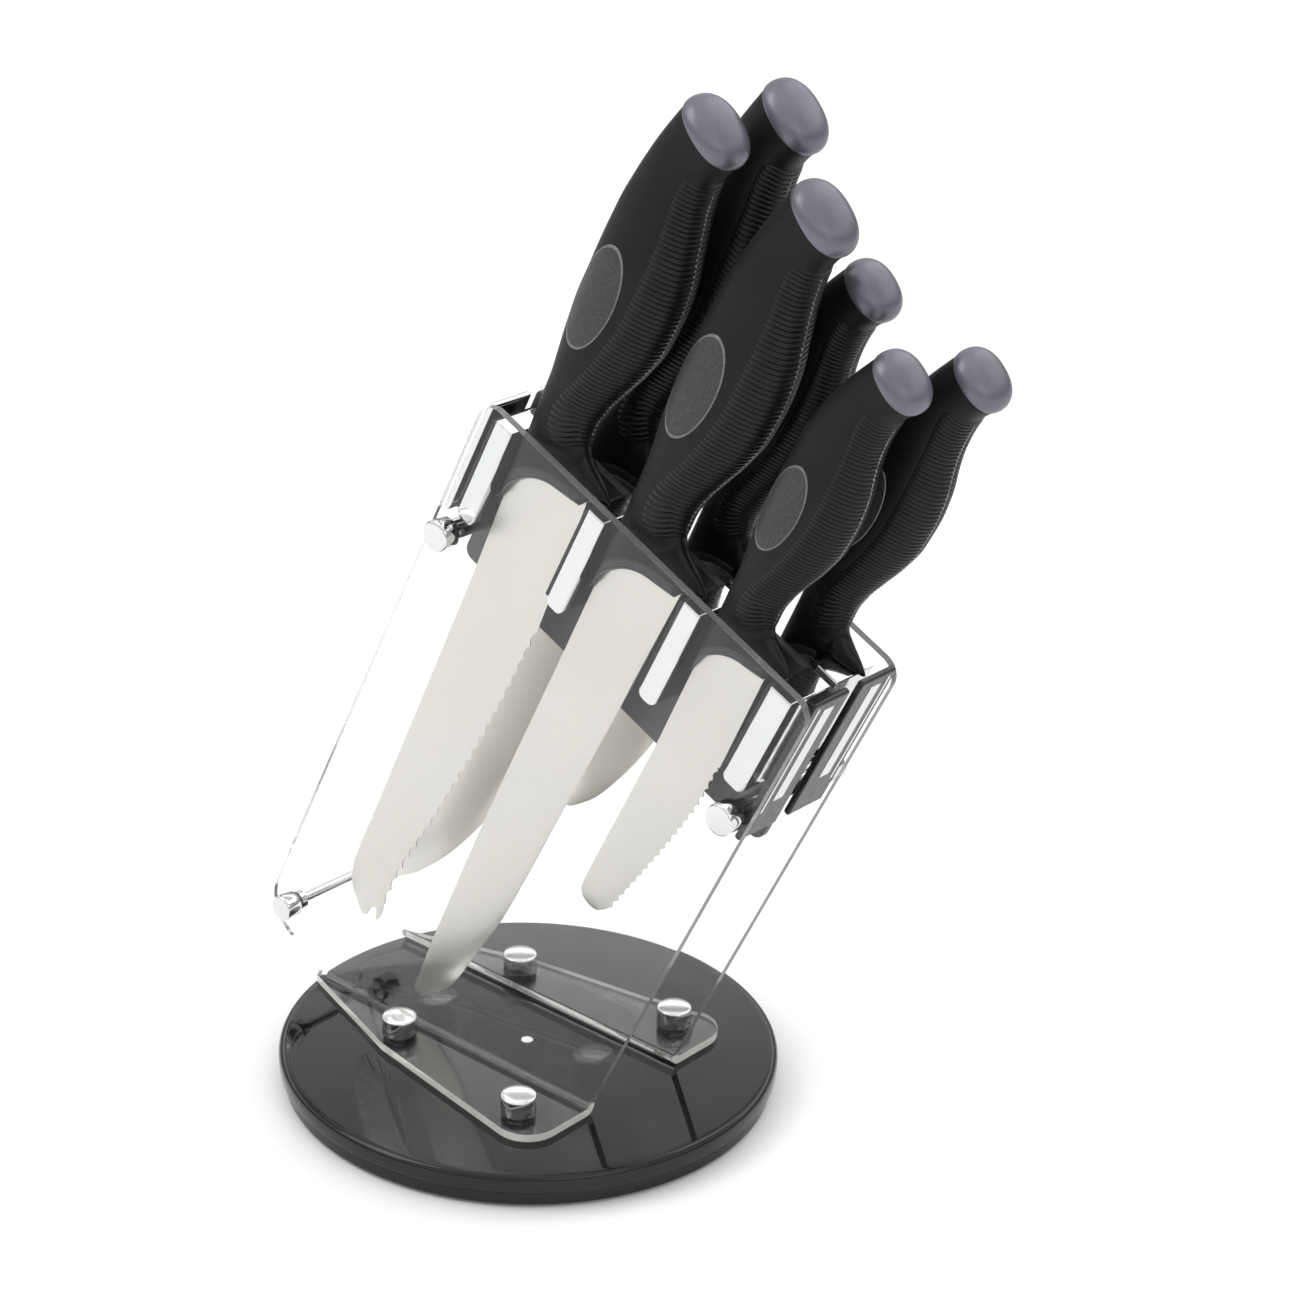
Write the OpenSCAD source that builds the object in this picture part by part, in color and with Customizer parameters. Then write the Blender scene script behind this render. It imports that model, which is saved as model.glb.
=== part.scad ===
// Turning acrylic knife stand with six knives. Millimetres, +Z up.
// Origin: centre of the underside, on the swivel axis. +X is the way the knives lean.
// Lengths named "along" and "up" are measured in the leaning frame of the panels.

/* [Base] */
// Diameter of the turning top disc
base_d = 180; // [150:1:210]
// Diameter step of the fixed lower disc
lower_step = 3.4; // [1:0.2:8]
// Height of the top face above the table
base_h = 13.6; // [11:0.2:18]
// Thickness of the turning disc
disc_t = 6.6; // [5.6:0.2:9]
// Radius of the rim rounding
rim_r = 2.4; // [1:0.2:3]
// Running gap between the two discs
seam_gap = 0.6; // [0.4:0.1:1.2]
// Height of the rubber feet
foot_h = 1.2; // [0.8:0.1:3]
// Diameter of a rubber foot
foot_d = 12; // [8:1:18]
// Number of rubber feet
foot_count = 6; // [3:1:8]
// Diameter of the pivot pin
pivot_d = 6; // [4:0.5:8]
// Radial running clearance of the pivot
pivot_clear = 0.05; // [0.02:0.01:0.1]
// Mean radius of the ball ring
ball_ring_r = 38; // [30:1:60]
// Diameter of a bearing ball
ball_d = 3.2; // [2.4:0.1:4]
// Number of bearing balls
ball_count = 18; // [8:1:24]
// Diameter of the centre plug
plug_d = 4.4; // [3:0.2:8]

/* [Panels] */
// Lean of the panels and knives from upright
lean = 25.8; // [15:0.2:35]
// Clear gap between the two panels
panel_gap = 41.5; // [38:0.5:60]
// Thickness of the acrylic sheet
sheet_t = 3; // [2:0.5:4]
// Inside radius of the heat bend
bend_r = 1; // [0.5:0.5:3]
// Front edge of the panels, along
panel_front = 37.4; // [30:0.2:50]
// Rear edge of the panels, along
panel_rear = -117.2; // [-125:0.2:-114]
// Rise of the panels above the comb top
panel_rise = 4.7; // [4.3:0.1:5.8]
// Radius of the upper panel corners
panel_corner_r = 7; // [2:1:15]
// Rear end of the bend line
bend_rear = -84.7; // [-92:0.1:-70]
// Angle of the cut rear lower corner
chamfer_angle = 32; // [20:1:45]
// Radius of the cut rear corner
chamfer_r = 16; // [5:1:25]
// Kink in the foot flange, along the base and out from the inner face
flange_kink = [-32.6, 21.75]; // [-60:0.05:60]
// Width of the foot flange at the front, out from the inner face
flange_front = 35.25; // [30:0.25:50]
// Radius of the flange corner
flange_corner_r = 12; // [4:1:16]

/* [Screws and rods] */
// Rear flange screw, along the base and out from the inner face
screw_rear = [-33.2, 12.05]; // [-60:0.05:60]
// Front flange screw, along the base and out from the inner face
screw_front = [33.7, 21.15]; // [-60:0.05:60]
// Diameter of the screws
screw_d = 4; // [3:0.5:5]
// Clearance hole over screw diameter
screw_clear = 0.4; // [0.2:0.1:1]
// Diameter of the bright flange caps
cap_d = 12.6; // [9:0.2:16]
// Height of the bright flange caps
cap_h = 7.4; // [4:0.2:12]
// Diameter of the holder rods
rod_d = 4; // [3:0.5:5]
// Drop of the holder rods below the comb top
rod_drop = 48.2; // [46:0.1:54]
// Wall of the spacer tubes on the holder rods
spacer_wall = 1.5; // [1:0.1:2.5]
// Gap between a spacer tube and the rear end plate
rear_spacer_gap = 0.9; // [0.3:0.1:6]
// Gap between a spacer tube and the front end plate
front_spacer_gap = 0.3; // [0.3:0.1:6]
// Diameter of the rod end caps
rod_cap_d = 11; // [8:0.5:13]
// Length of the rod end caps
rod_cap_h = 7; // [4:0.5:10]
// Lower rear rod, along and up
low_rod = [-106.2, -5.4]; // [-115:0.1:10]
// Diameter of the lower rear rod
low_rod_d = 3.6; // [3:0.2:5]

/* [Holder] */
// Height of the comb top, up
comb_top = 230.2; // [225:0.2:232]
// Height of a post
post_h = 42; // [34:0.5:46]
// Front ends of the four posts, along
post_front = [-103.4, -58, -12.6, 29.3]; // [-120:0.1:40]
// Widths of the four posts
post_w = [8.8, 8.8, 8.8, 10.4]; // [6:0.2:12]
// Thickness of the soft strip on each post
buffer_t = 1.2; // [0.8:0.1:2]
// Thickness of the divider plate
divider_t = 3; // [2:0.5:5]
// Depth of the divider plate below the comb top
divider_h = 69.2; // [60:0.1:80]
// Thickness of an end plate
end_t = 2.4; // [1.6:0.2:2.6]
// Setback of the end plates from the panel edges
end_set = 0.8; // [0.4:0.1:1.2]
// Half gap between the two halves of the end plates
end_split = 3.4; // [2:0.2:6]

/* [Knives] */
// Half distance between the two rows of blades
row_y = 13; // [12:0.2:16]
// Gap between a guard and the comb it stands on
guard_gap = 0.3; // [0.3:0.1:1]
// Blade thickness at the spine
blade_t = 2.2; // [1.4:0.1:3]
// Blade thickness at the edge
edge_t = 0.5; // [0.3:0.1:1]
// Length of the large handles
large_len = 131; // [115:1:140]
// Length of the small handles
small_len = 109; // [95:1:112]
// Thickness of the small handles against the large ones
small_thick = 0.92; // [0.8:0.01:1]
// Extra length of the carving handle
carving_extra = 2.5; // [0:0.5:5]
// Extra length of the chef handle
chef_extra = 6; // [0:0.5:8]
// Tilt of the end caps toward the belly
cap_tilt = 22; // [0:1:30]
// Extra sweep of the small handle ends toward the belly
small_sweep = 4.6; // [0:0.2:6]
// Half thickness of the large handles
handle_half = 11.2; // [9:0.1:12]
// Half thickness of the guards
guard_half = 6.8; // [5:0.1:7.2]
// Reach of a large guard in front of the spine
guard_reach = 37.4; // [34:0.2:37.8]
// Half height of the oval badges
badge_long = 19.5; // [14:0.5:21]
// Half width of the oval badges
badge_wide = 9.2; // [7:0.1:9.6]
// Depth of the grip pad seat
pad_depth = 1.2; // [0.6:0.1:2]
// Height of the domed end caps
dome_h = 7.6; // [3:0.2:9]

/* [Hidden] */
$fn = 48;
inside = panel_gap / 2;
base_z = base_h - disc_t;
lower_top = base_z - seam_gap;
lower_d = base_d - lower_step;
flange_z = base_h + sheet_t;
bend_out = bend_r + sheet_t;
bend_y = inside + bend_out;
bend_z = base_h + bend_out;
panel_top = comb_top + panel_rise;
rod_up = comb_top - rod_drop;
divider_low = comb_top - divider_h;
spacer_r = rod_d / 2 + spacer_wall;
rod_rear = panel_rear + end_set + end_t + rear_spacer_gap + spacer_r;
rod_front = panel_front - end_set - end_t - front_spacer_gap - spacer_r;
screws_at = [for (p = [screw_rear, screw_front]) [p[0], inside + p[1]]];
post_left = [for (k = [0 : 3]) post_front[k] - post_w[k]];
post_low = comb_top - post_h;
race_t = 2.2;
race_half = ball_d / 2 + 2;
ball_z = lower_top + seam_gap / 2;
ball_play = 0.1;
head_d = pivot_d * 2.2;
head_t = 2;
pivot_top = base_h - 2.6;
bush_d = pivot_d + 4;
bush_top = pivot_top + 0.4;
arc_steps = 8;
ring_n = 24;
ring_power = 2.3;
blend_up = 27;
full_len = 131;
tang_t = 1.6;
tang_up = 60;
pad_col = 5;
pad_from = 4;
pad_to = 15;

// Each knife: row side, spine position, handle length, slot number, scale
KNIVES = [
  [-1, -100.9, large_len, 1],
  [-1, -55.2, large_len + carving_extra, 2],
  [-1, -9.6, small_len, 3],
  [1, -93.3, large_len + chef_extra, 1],
  [1, -44.6, small_len, 2],
  [1, 1.0, small_len + 2, 3]
];

// Blade outlines: spine points, tip points and edge points, [from spine, up]
SPINES = [
  [[1.9, 168], [3.8, 101], [5.8, 26]],
  [[0.5, 177], [1.6, 90], [3.9, 28]],
  [[1.0, 172], [0.6, 104]],
  [[0.3, 168], [0.5, 80], [0.6, 24]],
  [[0.4, 170], [0.6, 118]],
  [[0.5, 190], [1.6, 168]]
];
TIPS = [
  [[8.2, 17.5], [12.5, 12.2], [18.6, 8.6], [20.4, 14.2], [22.2, 15.6], [24.6, 11.5]],
  [[5.6, -3]],
  [[1.2, 100.4], [3.2, 98.0], [6.4, 97.2], [10.2, 98.3]],
  [[0.9, 5.1]],
  [[1.6, 98.6], [3.4, 97.2]],
  [[3.6, 153.4]]
];
EDGES = [
  [[24.7, 22], [25.2, 43], [28.9, 72.6], [32.6, 125.6], [33.4, 169], [29.9, 224]],
  [[11.5, 3.5], [18.5, 17], [21.5, 35.5], [24.8, 61.7], [26.7, 122], [28.4, 180], [29.6, 224]],
  [[14.5, 104.4], [17.6, 120.6], [20.8, 138.5], [24.1, 163], [24.6, 184], [23.2, 224]],
  [[9.4, 17.1], [16.9, 33.5], [22.9, 52.3], [25.3, 63.4], [26.3, 88], [26.4, 224]],
  [[6.7, 100.8], [11.7, 109.4], [16.2, 122.6], [19.4, 135], [21.6, 147.4], [22.4, 165], [22.4, 224]],
  [[9.6, 160], [13.6, 171], [16.2, 184], [17.2, 200], [17.2, 224]]
];
// Tooth pitch and depth of the scalloped edges, zero for a plain edge
TEETH = [[6, 1.1], [0, 0], [3, 0.75], [0, 0], [0, 0], [0, 0]];

// Leaning frame to upright frame, in the side plane
function upright(p) = [p[0] * cos(lean) + p[1] * sin(lean), p[1] * cos(lean) - p[0] * sin(lean)];

// Unit vector from a to b
function toward(a, b) = (b - a) / norm(b - a);

// Points of a rounded corner at b, between a and c
function corner(a, b, c, r) =
  let (
    u = toward(b, a),
    v = toward(b, c),
    half = acos(u * v) / 2,
    reach = r / tan(half),
    middle = b + toward([0, 0], u + v) * r / sin(half),
    from = b + u * reach - middle,
    to = b + v * reach - middle,
    start = atan2(from[1], from[0]),
    turn = atan2(from[0] * to[1] - from[1] * to[0], from * to)
  )
  r < 0.01 ? [b] : [for (k = [0 : arc_steps]) middle + r * [cos(start + turn * k / arc_steps), sin(start + turn * k / arc_steps)]];

// A closed outline with its own radius at each corner
function rounded(points, radii) =
  let (n = len(points))
  [for (k = [0 : n - 1]) each corner(points[(k + n - 1) % n], points[k], points[(k + 1) % n], radii[k])];

// A side outline given in the leaning frame, made into a plate across Y
module side_plate(points, y0, y1) {
  rotate([0, lean, 0])
    translate([0, y1, 0])
      rotate([90, 0, 0])
        linear_extrude(y1 - y0)
          polygon(points);
}

// A round bar across Y in the leaning frame
module cross_bar(along, up, d, y0, y1) {
  rotate([0, lean, 0])
    translate([along, y1, up])
      rotate([90, 0, 0])
        cylinder(d = d, h = y1 - y0);
}

// The same thing on both sides of the middle plane
module both_sides() {
  children();
  mirror([0, 1, 0])
    children();
}

// ---- Base ----

module lower_disc() {
  color([0.03, 0.03, 0.035])
    difference() {
      translate([0, 0, foot_h])
        cylinder(d = lower_d, h = lower_top - foot_h, $fn = 120);
      translate([0, 0, lower_top - race_t])
        race_ring(race_t + 1);
      translate([0, 0, foot_h - 1])
        cylinder(d = pivot_d, h = base_h);
      translate([0, 0, foot_h - 1])
        cylinder(d = head_d, h = 1 + head_t);
    }
}

// A flat ring under and over the balls
module race_ring(h) {
  difference() {
    cylinder(r = ball_ring_r + race_half, h = h, $fn = 96);
    translate([0, 0, -1])
      cylinder(r = ball_ring_r - race_half, h = h + 2, $fn = 96);
  }
}

module rubber_feet() {
  color([0.08, 0.08, 0.08])
    for (k = [0 : foot_count - 1])
      rotate([0, 0, k * 360 / foot_count])
        translate([lower_d / 2 - foot_d, 0, 0])
          cylinder(d = foot_d, h = foot_h);
}

module centre_pad() {
  color([0.08, 0.08, 0.08])
    cylinder(d = head_d + 8, h = foot_h);
}

module pivot_bolt() {
  color([0.6, 0.61, 0.63]) {
    translate([0, 0, foot_h])
      cylinder(d = head_d, h = head_t);
    translate([0, 0, foot_h + head_t])
      cylinder(d = pivot_d, h = pivot_top - foot_h - head_t);
  }
}

// The groove that the balls roll in
module ball_track(d) {
  translate([0, 0, ball_z])
    rotate_extrude($fn = 96)
      translate([ball_ring_r, 0])
        circle(d = d, $fn = 32);
}

module lower_race() {
  color([0.62, 0.63, 0.65])
    difference() {
      translate([0, 0, lower_top - race_t])
        race_ring(race_t);
      ball_track(ball_d + ball_play);
    }
}

module bearing_balls() {
  color([0.75, 0.75, 0.77])
    for (k = [0 : ball_count - 1])
      rotate([0, 0, k * 360 / ball_count])
        translate([ball_ring_r, 0, ball_z])
          sphere(d = ball_d, $fn = 32);
}

module upper_race() {
  color([0.62, 0.63, 0.65])
    difference() {
      translate([0, 0, base_z])
        race_ring(race_t);
      ball_track(ball_d + 0.6);
    }
}

module top_disc() {
  color([0.02, 0.02, 0.025])
    difference() {
      rotate_extrude($fn = 120)
        polygon(rounded(
          [[0, base_z], [base_d / 2, base_z], [base_d / 2, base_h], [0, base_h]],
          [0, 0.8, rim_r, 0]
        ));
      translate([0, 0, base_z - 1])
        race_ring(race_t + 1);
      translate([0, 0, base_z - 1])
        cylinder(d = bush_d, h = 1 + bush_top - base_z);
      cylinder(d = plug_d, h = base_h + 1);
      for (s = [-1, 1], p = screws_at)
        translate([p[0], s * p[1], base_h - 4])
          cylinder(d = screw_d, h = 5);
    }
}

module pivot_bush() {
  color([0.72, 0.6, 0.35])
    translate([0, 0, base_z])
      difference() {
        cylinder(d = bush_d, h = bush_top - base_z);
        translate([0, 0, -1])
          cylinder(d = pivot_d + 2 * pivot_clear, h = base_h);
      }
}

module centre_plug() {
  color([0.85, 0.85, 0.83])
    translate([0, 0, bush_top])
      cylinder(d = plug_d, h = base_h - bush_top + 0.3);
}

// ---- Panels ----

// Side outline of a panel above its bend, in the upright frame
function wall_outline() =
  let (
    slope = tan(lean),
    front_low = [panel_front / cos(lean) + bend_z * slope, bend_z],
    rear_x0 = panel_rear / cos(lean),
    rear_low = [bend_rear, bend_z],
    cut_z = (bend_rear + bend_z / tan(chamfer_angle) - rear_x0) / (slope + 1 / tan(chamfer_angle)),
    cut = [rear_x0 + cut_z * slope, cut_z]
  )
  rounded(
    [front_low, upright([panel_front, panel_top]), upright([panel_rear, panel_top]), cut, rear_low],
    [0, panel_corner_r, panel_corner_r, chamfer_r, 0]
  );

// Plan outline of a foot flange
function flange_outline() =
  let (front_x = panel_front / cos(lean) + bend_z * tan(lean))
  rounded(
    [
      [bend_rear, bend_y], [flange_kink[0], inside + flange_kink[1]],
      [front_x, inside + flange_front], [front_x, bend_y]
    ],
    [0, 10, flange_corner_r, 0]
  );

// The far panel, with its holes
module panel() {
  front_x = panel_front / cos(lean) + bend_z * tan(lean);
  difference() {
    union() {
      translate([0, inside + sheet_t, 0])
        rotate([90, 0, 0])
          linear_extrude(sheet_t)
            polygon(wall_outline());
      translate([0, 0, base_h])
        linear_extrude(sheet_t)
          polygon(flange_outline());
      translate([bend_rear, bend_y, bend_z])
        rotate([0, 90, 0])
          difference() {
            intersection() {
              cylinder(r = bend_out, h = front_x - bend_rear);
              translate([0, -bend_out, 0])
                cube([bend_out, bend_out, front_x - bend_rear]);
            }
            translate([0, 0, -1])
              cylinder(r = bend_r, h = front_x - bend_rear + 2);
          }
    }
    for (p = screws_at)
      translate([p[0], p[1], base_h - 1])
        cylinder(d = screw_d + screw_clear, h = sheet_t + 2);
    for (a = [rod_rear, rod_front])
      cross_bar(a, rod_up, rod_d + screw_clear, inside - 1, inside + sheet_t + 1);
    cross_bar(low_rod[0], low_rod[1], low_rod_d + screw_clear, inside - 1, inside + sheet_t + 1);
  }
}

module near_panel() {
  color([0.9, 0.93, 0.93, 0.3])
    mirror([0, 1, 0])
      panel();
}

module far_panel() {
  color([0.9, 0.93, 0.93, 0.3])
    panel();
}

module flange_screws() {
  color([0.6, 0.61, 0.63])
    for (s = [-1, 1], p = screws_at)
      translate([p[0], s * p[1], base_h - 4])
        cylinder(d = screw_d, h = 4 + sheet_t + cap_h / 2);
}

// A bright cap with a rounded rim and a blind bore from below
module bright_cap(d, h, bore) {
  difference() {
    rotate_extrude()
      polygon(rounded([[0, 0], [d / 2, 0], [d / 2, h], [0, h]], [0, 0.3, 1.2, 0]));
    translate([0, 0, -1])
      cylinder(d = bore, h = 1 + h / 2);
  }
}

module flange_caps() {
  color([0.85, 0.86, 0.88])
    for (s = [-1, 1], p = screws_at)
      translate([p[0], s * p[1], flange_z])
        bright_cap(cap_d, cap_h, screw_d);
}

// ---- Holder between the panels ----

module divider_plate() {
  rear = panel_rear + end_set + end_t;
  front = panel_front - end_set - end_t;
  color([0.3, 0.31, 0.31])
    difference() {
      side_plate(
        rounded(
          [
            [rear, divider_low], [front, divider_low], [front, comb_top - 2],
            [post_front[0] + 1, comb_top - 2], [post_front[0] - 1, comb_top + 5], [rear, comb_top + 5]
          ],
          [4, 4, 2, 1.5, 2, 2]
        ),
        -divider_t / 2, divider_t / 2
      );
      for (a = [rod_rear, rod_front])
        cross_bar(a, rod_up, rod_d, -divider_t, divider_t);
    }
}

// One row of bright posts, on the far side
module posts() {
  for (k = [0 : 3])
    side_plate(
      rounded(
        [
          [post_left[k] + buffer_t, post_low], [post_front[k], post_low],
          [post_front[k], comb_top], [post_left[k] + buffer_t, comb_top]
        ],
        [2.6, 2.6, 0.6, 0.6]
      ),
      divider_t / 2, inside
    );
}

// The soft strips that the cutting edges lean on
module buffers() {
  for (f = post_left)
    side_plate(
      [
        [f, post_low + 3], [f + buffer_t, post_low + 3],
        [f + buffer_t, comb_top - 0.6], [f, comb_top - 0.6]
      ],
      divider_t / 2, inside
    );
}

module near_posts() {
  color([0.85, 0.86, 0.88])
    mirror([0, 1, 0])
      posts();
}

module far_posts() {
  color([0.85, 0.86, 0.88])
    posts();
}

module near_buffers() {
  color([0.05, 0.05, 0.05])
    mirror([0, 1, 0])
      buffers();
}

module far_buffers() {
  color([0.05, 0.05, 0.05])
    buffers();
}

// A closing plate across the end of the holder, in two halves
module end_plates(a0, a1, low, high) {
  both_sides()
    side_plate(
      rounded([[a0, low], [a1, low], [a1, high], [a0, high]], [1, 1, 1, 1]),
      end_split, inside
    );
}

module front_plates() {
  color([0.06, 0.06, 0.065])
    end_plates(panel_front - end_set - end_t, panel_front - end_set, rod_up - 8, panel_top + 1);
}

module rear_plates() {
  color([0.85, 0.86, 0.88])
    end_plates(panel_rear + end_set, panel_rear + end_set + end_t, rod_up + 5, panel_top - 1.5);
}

module holder_rods() {
  color([0.8, 0.81, 0.83])
    for (a = [rod_rear, rod_front])
      cross_bar(a, rod_up, rod_d, -inside - sheet_t - rod_cap_h / 2, inside + sheet_t + rod_cap_h / 2);
}

module rod_spacers() {
  color([0.8, 0.81, 0.83])
    both_sides()
      for (a = [rod_rear, rod_front])
        difference() {
          cross_bar(a, rod_up, 2 * spacer_r, divider_t / 2, inside);
          cross_bar(a, rod_up, rod_d, 0, inside + 1);
        }
}

// A bright end cap on the outside of the far panel
module rod_cap(a, up, d, bore) {
  rotate([0, lean, 0])
    translate([a, inside + sheet_t, up])
      rotate([-90, 0, 0])
        bright_cap(d, rod_cap_h, bore);
}

module rod_caps() {
  color([0.85, 0.86, 0.88])
    both_sides()
      for (a = [rod_rear, rod_front])
        rod_cap(a, rod_up, rod_cap_d, rod_d);
}

module low_rod_bar() {
  color([0.8, 0.81, 0.83])
    cross_bar(low_rod[0], low_rod[1], low_rod_d, -inside - sheet_t - rod_cap_h / 2, inside + sheet_t + rod_cap_h / 2);
}

module low_rod_caps() {
  color([0.85, 0.86, 0.88])
    both_sides()
      rod_cap(low_rod[0], low_rod[1], rod_cap_d - 1.2, low_rod_d);
}

module low_rod_collars() {
  color([0.85, 0.86, 0.88])
    both_sides()
      difference() {
        cross_bar(low_rod[0], low_rod[1], low_rod_d + 3.4, inside - 2.4, inside);
        cross_bar(low_rod[0], low_rod[1], low_rod_d, inside - 4, inside + 1);
      }
}

// ---- Knives ----

function side_of(i) = KNIVES[i][0];
function spine_of(i) = KNIVES[i][1];
// Size of a handle against the full pattern, along its length and across it
function long_scale(i) = KNIVES[i][2] / full_len;
function size_scale(i) = KNIVES[i][2] < (large_len + small_len) / 2 ? small_len / full_len : 1;
function thick_scale(i) = size_scale(i) < 1 ? small_thick : 1;
function rest_up() = comb_top + guard_gap;

// Handle pattern at full size: spine line, belly line and half thickness by height
function spine_line(h) = lookup(h, [
  [0, -1.3], [13, -1.5], [27, -2.4], [37, -3.5], [48, -4.8], [60, -5.6], [78, -5.8],
  [95, -5.4], [105, -4.2], [114, -2.6], [121, -0.9], [127, 0.9], [131, 2.2]
]);
function belly_line(h) = lookup(h, [
  [0, guard_reach], [3, guard_reach - 4.4], [6, 27], [9, 22.2], [13, 20], [19, 19.4], [27, 20.6],
  [37, 23.8], [48, 27.6], [60, 30.2], [72, 30.6], [84, 29.4], [95, 26.6], [105, 24.2], [114, 22.7],
  [121, 22.2], [127, 23.4], [131, 25]
]);
function half_line(h) = lookup(h, [
  [0, guard_half], [6, guard_half], [13, 7.6], [27, 9.0], [37, 10], [48, handle_half - 0.4],
  [60, handle_half], [78, handle_half], [95, handle_half - 0.7], [114, handle_half - 1.5],
  [121, handle_half - 1.6], [131, handle_half - 1.3]
]);
// How far a section narrows toward its belly
function narrow_line(h) = lookup(h, [[0, 0.62], [9, 0.4], [19, 0.12], [37, 0.05], [131, 0]]);
STATIONS = [0, 3, 6, 9, 13, 19, 27, 37, 48, 60, 72, 84, 95, 105, 114, 121, 127, 131];

// Under face of a handle, by distance from the spine: a lip behind the blade,
// an arch over it and a flat that stands on the next post
function step_at(i) =
  min(31, (post_left[KNIVES[i][3]] - 0.5 - spine_of(i)) / size_scale(i));
function under(i, u) =
  let (q = step_at(i))
  lookup(u, [
    [-1.3, -33.5], [0.2, -27], [1.5, -20], [4, -14.5], [7, -11.5],
    [min(14, q - 9.5), -6.5], [q - 9, -5], [q - 5, 0], [45, 0]
  ]);

// One point of a handle section: station height, angle from the belly, depth under the skin
function skin(i, h, angle, depth) =
  let (
    us = spine_line(h),
    ub = belly_line(h),
    half_u = (ub - us) / 2,
    cu = cos(angle),
    su = sin(angle),
    centre = (us + ub) / 2,
    reach = (half_u - depth) * sign(cu) * pow(abs(cu), 2 / ring_power),
    sweep = size_scale(i) < 1 ? small_sweep * lookup(h, [[95, 0], [114, 0.4], [131, 1]]) : 0,
    along = centre + reach + sweep,
    share = (centre + reach - us) / (ub - us),
    across = (half_line(h) - depth) * sign(su) * pow(abs(su), 2 / ring_power) * (1 - narrow_line(h) * share * share),
    tilt = -reach * tan(cap_tilt) * lookup(h, [[95, 0], [131, 1]]),
    up = h + (h < blend_up ? (1 - h / blend_up) * under(i, along) : 0) + tilt
  )
  [
    spine_of(i) + along * size_scale(i),
    side_of(i) * row_y + across * thick_scale(i),
    rest_up() + up * (h < 1 ? size_scale(i) : long_scale(i))
  ];

function ring_angle(j) = j * 360 / ring_n;

// Depth of the pad seat at a station and angle
function seat(k, j) =
  let (from_belly = j > ring_n / 2 ? ring_n - j : j)
  k > pad_from && k < pad_to && from_belly < pad_col ? pad_depth : 0;

// Faces of a stack of closed rings, with strips across the two ends
function stack_faces(rings, n) = concat(
  [for (k = [0 : rings - 2], j = [0 : n - 1]) [k * n + j, (k + 1) * n + j, k * n + (j + 1) % n]],
  [for (k = [0 : rings - 2], j = [0 : n - 1]) [k * n + (j + 1) % n, (k + 1) * n + j, (k + 1) * n + (j + 1) % n]],
  end_strips(0, n, false),
  end_strips((rings - 1) * n, n, true)
);
function flip(f, turn) = turn ? [f[2], f[1], f[0]] : f;
function end_strips(base, n, turn) = [
  flip([base, base + 1, base + n - 1], turn),
  for (j = [1 : n / 2 - 2]) each [
    flip([base + j, base + j + 1, base + n - j], turn),
    flip([base + j + 1, base + n - j - 1, base + n - j], turn)
  ],
  flip([base + n / 2 - 1, base + n / 2, base + n / 2 + 1], turn)
];

module handle_solid(i) {
  polyhedron(
    [
      for (k = [0 : len(STATIONS) - 1], j = [0 : ring_n - 1])
        skin(i, STATIONS[k], ring_angle(j), seat(k, j))
    ],
    stack_faces(len(STATIONS), ring_n)
  );
}

// The oval inlays in the two side faces
module badge_cutters(i) {
  s = size_scale(i);
  for (t = [-1, 1])
    rotate([0, lean, 0])
      translate([spine_of(i) + 5.2 * s, side_of(i) * row_y + t * (handle_half * thick_scale(i) + 1), rest_up() + 64 * long_scale(i)])
        rotate([0, 3, 0])
          rotate([90, 0, 0])
            linear_extrude(5.6, center = true)
              polygon([for (a = [0 : 15 : 345]) s * [badge_wide * cos(a), badge_long * sin(a)]]);
}

module tang(i) {
  s = size_scale(i);
  side_plate(
    [
      [spine_of(i) + 8 * s, rest_up() - 12 * s], [spine_of(i) + 17 * s, rest_up() - 12 * s],
      [spine_of(i) + 15 * s, rest_up() + tang_up * s], [spine_of(i) + 9 * s, rest_up() + tang_up * s]
    ],
    side_of(i) * row_y - tang_t / 2, side_of(i) * row_y + tang_t / 2
  );
}

module knife_handle(i) {
  color([0.11, 0.11, 0.115])
    difference() {
      rotate([0, lean, 0])
        handle_solid(i);
      tang(i);
      badge_cutters(i);
    }
}

module knife_badges(i) {
  color([0.33, 0.33, 0.34])
    intersection() {
      rotate([0, lean, 0])
        handle_solid(i);
      badge_cutters(i);
    }
}

// The ribbed pad: its rim lies on the handle skin, its inner face in the seat
module knife_grip(i) {
  rows = pad_to - pad_from + 1;
  cols = 2 * pad_col + 1;
  outer = [
    for (k = [0 : rows - 1], c = [0 : cols - 1])
      skin(i, STATIONS[pad_from + k], ring_angle(c - pad_col), 0)
  ];
  inner = [
    for (k = [0 : rows - 1], c = [0 : cols - 1])
      skin(i, STATIONS[pad_from + k], ring_angle(c - pad_col), pad_depth)
  ];
  // Rim points of the inner net are those of the outer one
  at = [
    for (k = [0 : rows - 1], c = [0 : cols - 1])
      k == 0 || k == rows - 1 || c == 0 || c == cols - 1 ? k * cols + c : rows * cols + k * cols + c
  ];
  // The two corner triangles that lie on the rim alone are left out
  first = [
    for (k = [0 : rows - 2], c = [0 : cols - 2])
      if (k + c > 0) [k * cols + c, (k + 1) * cols + c, k * cols + c + 1]
  ];
  second = [
    for (k = [0 : rows - 2], c = [0 : cols - 2])
      if (k + c < rows + cols - 4) [k * cols + c + 1, (k + 1) * cols + c, (k + 1) * cols + c + 1]
  ];
  net = concat(first, second);
  color([0.05, 0.05, 0.055])
    rotate([0, lean, 0])
      polyhedron(concat(outer, inner), concat(net, [for (f = net) [at[f[0]], at[f[2]], at[f[1]]]]));
}

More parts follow.
